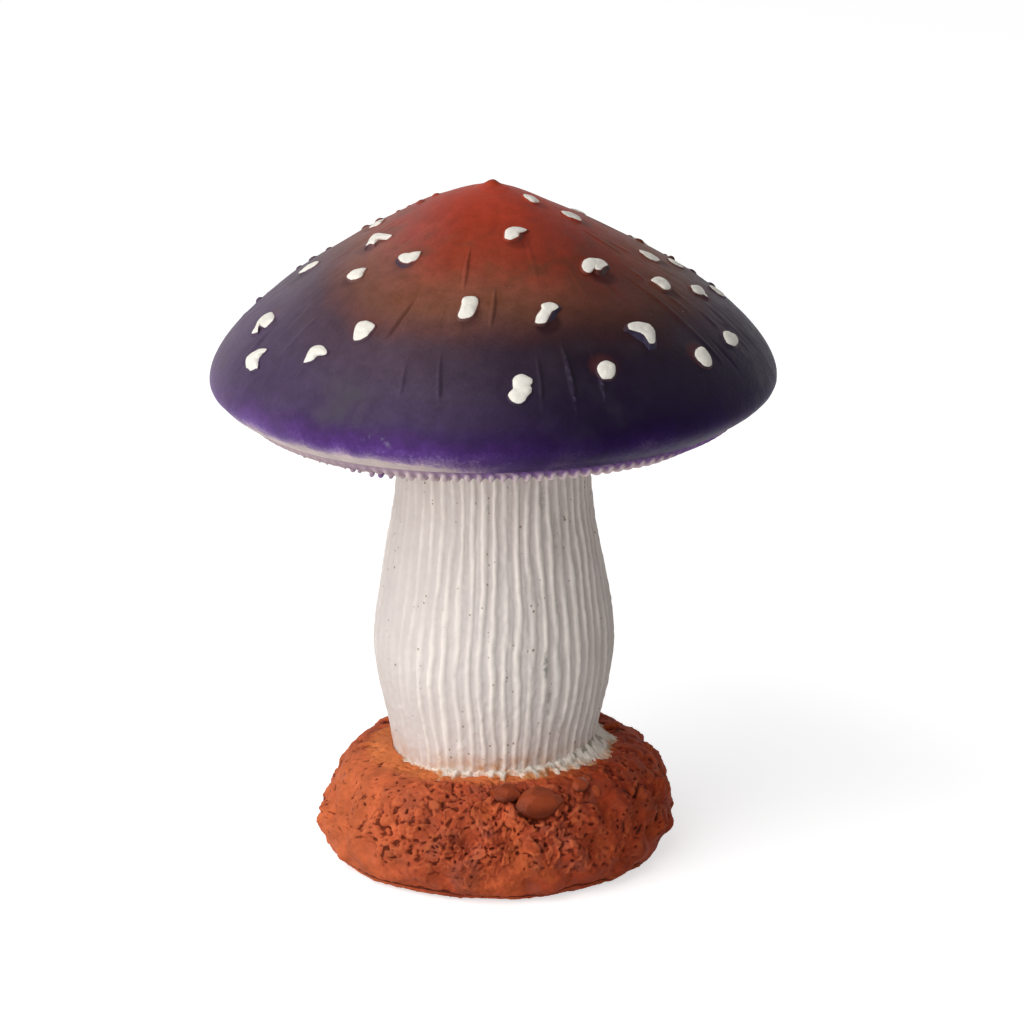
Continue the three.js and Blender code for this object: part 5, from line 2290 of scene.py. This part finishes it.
        hollow = ease(0.0, 0.35, -soft_noise(places, 1.5, self.seed + 24, 2))
        dirty = hump(degrees, 62, 30)
        pit = ((0.08 + 0.8 * dirty) * hollow)[::-1]
        mark(mesh, "edge", np.concatenate((level, edge)).ravel())
        mark(mesh, "pit", np.concatenate((0 * level, pit)).ravel())
        hand_over(new_piece("filler_fringe", mesh, self.filler_paint), Slot.FILLER, "filler_ring")

    def _pebble(self, name: str, number: int) -> None:
        """Builds a worn pebble, narrow at both ends and more so at the right, in the place of its CAD node.

        Args:
            name: The CAD node.
            number: Its number, for its seed.
        """
        points = node_points(name)
        middle = (points.max(axis=0) + points.min(axis=0)) / 2
        _, _, axes = np.linalg.svd(points - points.mean(axis=0), full_matrices=False)
        if np.linalg.det(axes) < 0:
            axes[2] = -axes[2]
        if axes[0, 0] < 0:
            axes[:2] = -axes[:2]
        half = np.abs((points - middle) @ axes.T).max(axis=0) * PEBBLE_SCALES[name]
        lean = math.radians(PEBBLE_TURNS[name])
        upward = axes[1] * np.sign(axes[1, 2])
        first = math.cos(lean) * axes[0] + math.sin(lean) * upward
        second = math.cos(lean) * upward - math.sin(lean) * axes[0]
        axes = np.stack((first, second, np.cross(first, second)))
        turn = np.arange(self.pebble_sides) / self.pebble_sides * FULL_TURN
        rise = np.linspace(-math.pi / 2, math.pi / 2, self.pebble_rings)[:, None]
        leaf = spot(np.cos(rise), turn, np.sin(rise))
        draw = np.random.default_rng(self.seed + 60 + number)
        for _ in range(self.pebble_facets):
            normal = draw.normal(size=3)
            normal /= np.linalg.norm(normal)
            leaf -= 0.92 * np.maximum(leaf @ normal - draw.uniform(0.70, 0.90), 0)[..., None] * normal
        lengthwise = leaf[..., 0]
        taper = 1 - 0.36 * lengthwise**2 - 0.12 * lengthwise**3
        leaf[..., 1:] *= taper[..., None]
        lumpy = 1 + (0.06 + 0.05 * number) * soft_noise(leaf + 5.0 * number, 0.9, self.seed + 30, 2)
        grid = middle + (leaf * lumpy[..., None] * half) @ axes
        mesh = sheet_mesh(f"{name}_stone", grid)
        # How low each point lies, for painted shade at the bottom of the stone
        tall = grid[..., 2]
        low = 1 - ease(0.25, 0.6, (tall - tall.min()) / np.ptp(tall))
        mark(mesh, "low", ring_values(low))
        hand_over(new_piece(f"{name}_stone", mesh, self.pebble_paint), Slot.PEBBLE, name)


# Studio

@dataclass
class Studio:
    """The floor, the lamps, the world and the camera."""

    distance: float = 1.0
    elevation: float = 18.0
    aim: tuple[float, float, float] = (0.0037, 0.0, 0.07037)
    focal_pixels: float = 5000.0
    picture_pixels: float = 1024.0
    floor_colour: Colour = (0.80, 0.80, 0.80)
    floor_glow: float = 0.62
    floor_reach: float = 6.0
    floor_level: float = -0.0001
    fill: float = 0.27
    lamp_distance: float = 1.4
    key_power: float = 20.0
    front_power: float = 6.0

    def build(self) -> None:
        """Builds the whole studio."""
        bpy.context.scene.view_settings.view_transform = "Standard"
        self._camera()
        self._floor()
        self._world()
        self._lamp("key", -50.0, 36.0, 1.8, self.key_power)
        self._lamp("front", -42.0, 4.0, 1.2, self.front_power)

    def _camera(self) -> None:
        """Sets the camera at the photograph's viewing angle."""
        data = bpy.data.cameras.new("camera")
        data.sensor_width = 36.0
        data.lens = self.focal_pixels / self.picture_pixels * data.sensor_width
        camera = bpy.data.objects.new("camera", data)
        tilt = math.radians(self.elevation)
        back = Vector((0.0, -math.cos(tilt), math.sin(tilt)))
        camera.location = Vector(self.aim) + self.distance * back
        camera.rotation_euler = (math.radians(90.0 - self.elevation), 0.0, 0.0)
        bpy.context.scene.collection.objects.link(camera)
        bpy.context.scene.camera = camera

    @staticmethod
    def _seen(bench: NodeBench) -> Socket:
        """1 for rays that show the background: from the camera, in a gloss or through glass.

        Args:
            bench: A bench on the tree.

        Returns:
            The share of such rays.
        """
        path = bench.add("ShaderNodeLightPath").outputs
        seen = bench.sum("MAXIMUM", path["Is Camera Ray"], path["Is Glossy Ray"])
        return bench.sum("MAXIMUM", seen, path["Is Transmission Ray"])

    def _floor(self) -> None:
        """A wide pale floor that keeps the object's shadow."""
        side, level = self.floor_reach, self.floor_level
        mesh = bpy.data.meshes.new("floor")
        corners = [(-side, -side, level), (side, -side, level), (side, side, level), (-side, side, level)]
        mesh.from_pydata(corners, [], [(0, 1, 2, 3)])
        bench = FinishBench("floor_white", 0.9, 0.0)
        sockets = bench.shader.inputs
        sockets["Base Color"].default_value = full(self.floor_colour)
        sockets["Emission Color"].default_value = (1.0, 1.0, 1.0, 1.0)
        glow = bench.times(self._seen(bench), self.floor_glow)
        bench.tree.links.new(glow, sockets["Emission Strength"])
        new_piece("floor", mesh, bench.material)

    def _world(self) -> None:
        """A white background over an even grey fill."""
        world = bpy.data.worlds.new("studio")
        world.use_nodes = True
        bpy.context.scene.world = world
        bench = NodeBench(world.node_tree)
        background = world.node_tree.nodes["Background"]
        background.inputs["Color"].default_value = (1.0, 1.0, 1.0, 1.0)
        strength = bench.span(self._seen(bench), 0.0, 1.0, self.fill, 1.0)
        bench.tree.links.new(strength, background.inputs["Strength"])

    def _lamp(self, name: str, around: float, above: float, size: float, power: float) -> None:
        """A square soft lamp that faces the object.

        Args:
            name: The lamp's name.
            around: Degrees from the front towards +X.
            above: Degrees above the floor.
            size: Metres along its side.
            power: Watts.
        """
        data = bpy.data.lights.new(name, "AREA")
        data.size = size
        data.energy = power
        lamp = bpy.data.objects.new(name, data)
        turn, rise = math.radians(around), math.radians(above)
        away = Vector((math.sin(turn) * math.cos(rise), -math.cos(turn) * math.cos(rise), math.sin(rise)))
        lamp.location = Vector(self.aim) + self.lamp_distance * away
        lamp.rotation_mode = "QUATERNION"
        lamp.rotation_quaternion = (-away).to_track_quat("-Z", "Y")
        bpy.context.scene.collection.objects.link(lamp)


def main() -> None:
    logging.basicConfig(level=logging.INFO, format="%(name)s %(message)s")
    Studio().build()
    effects = SharedEffects()
    trees = GrowingTrees()
    cap = Cap(CapPaint().material(effects), trees)
    warts = Warts(cap, WartPaint().material(effects))
    cap.build(warts.found)
    warts.build()
    Gills(cap, GillPaint().material(effects), trees).build()
    Stem(StemPaint().material(effects), trees).build()
    ground = (SoilPaint(), FillerPaint(), PebblePaint())
    Mound(*(paint.material(effects) for paint in ground), trees).build()


if __name__ == "__main__":
    main()
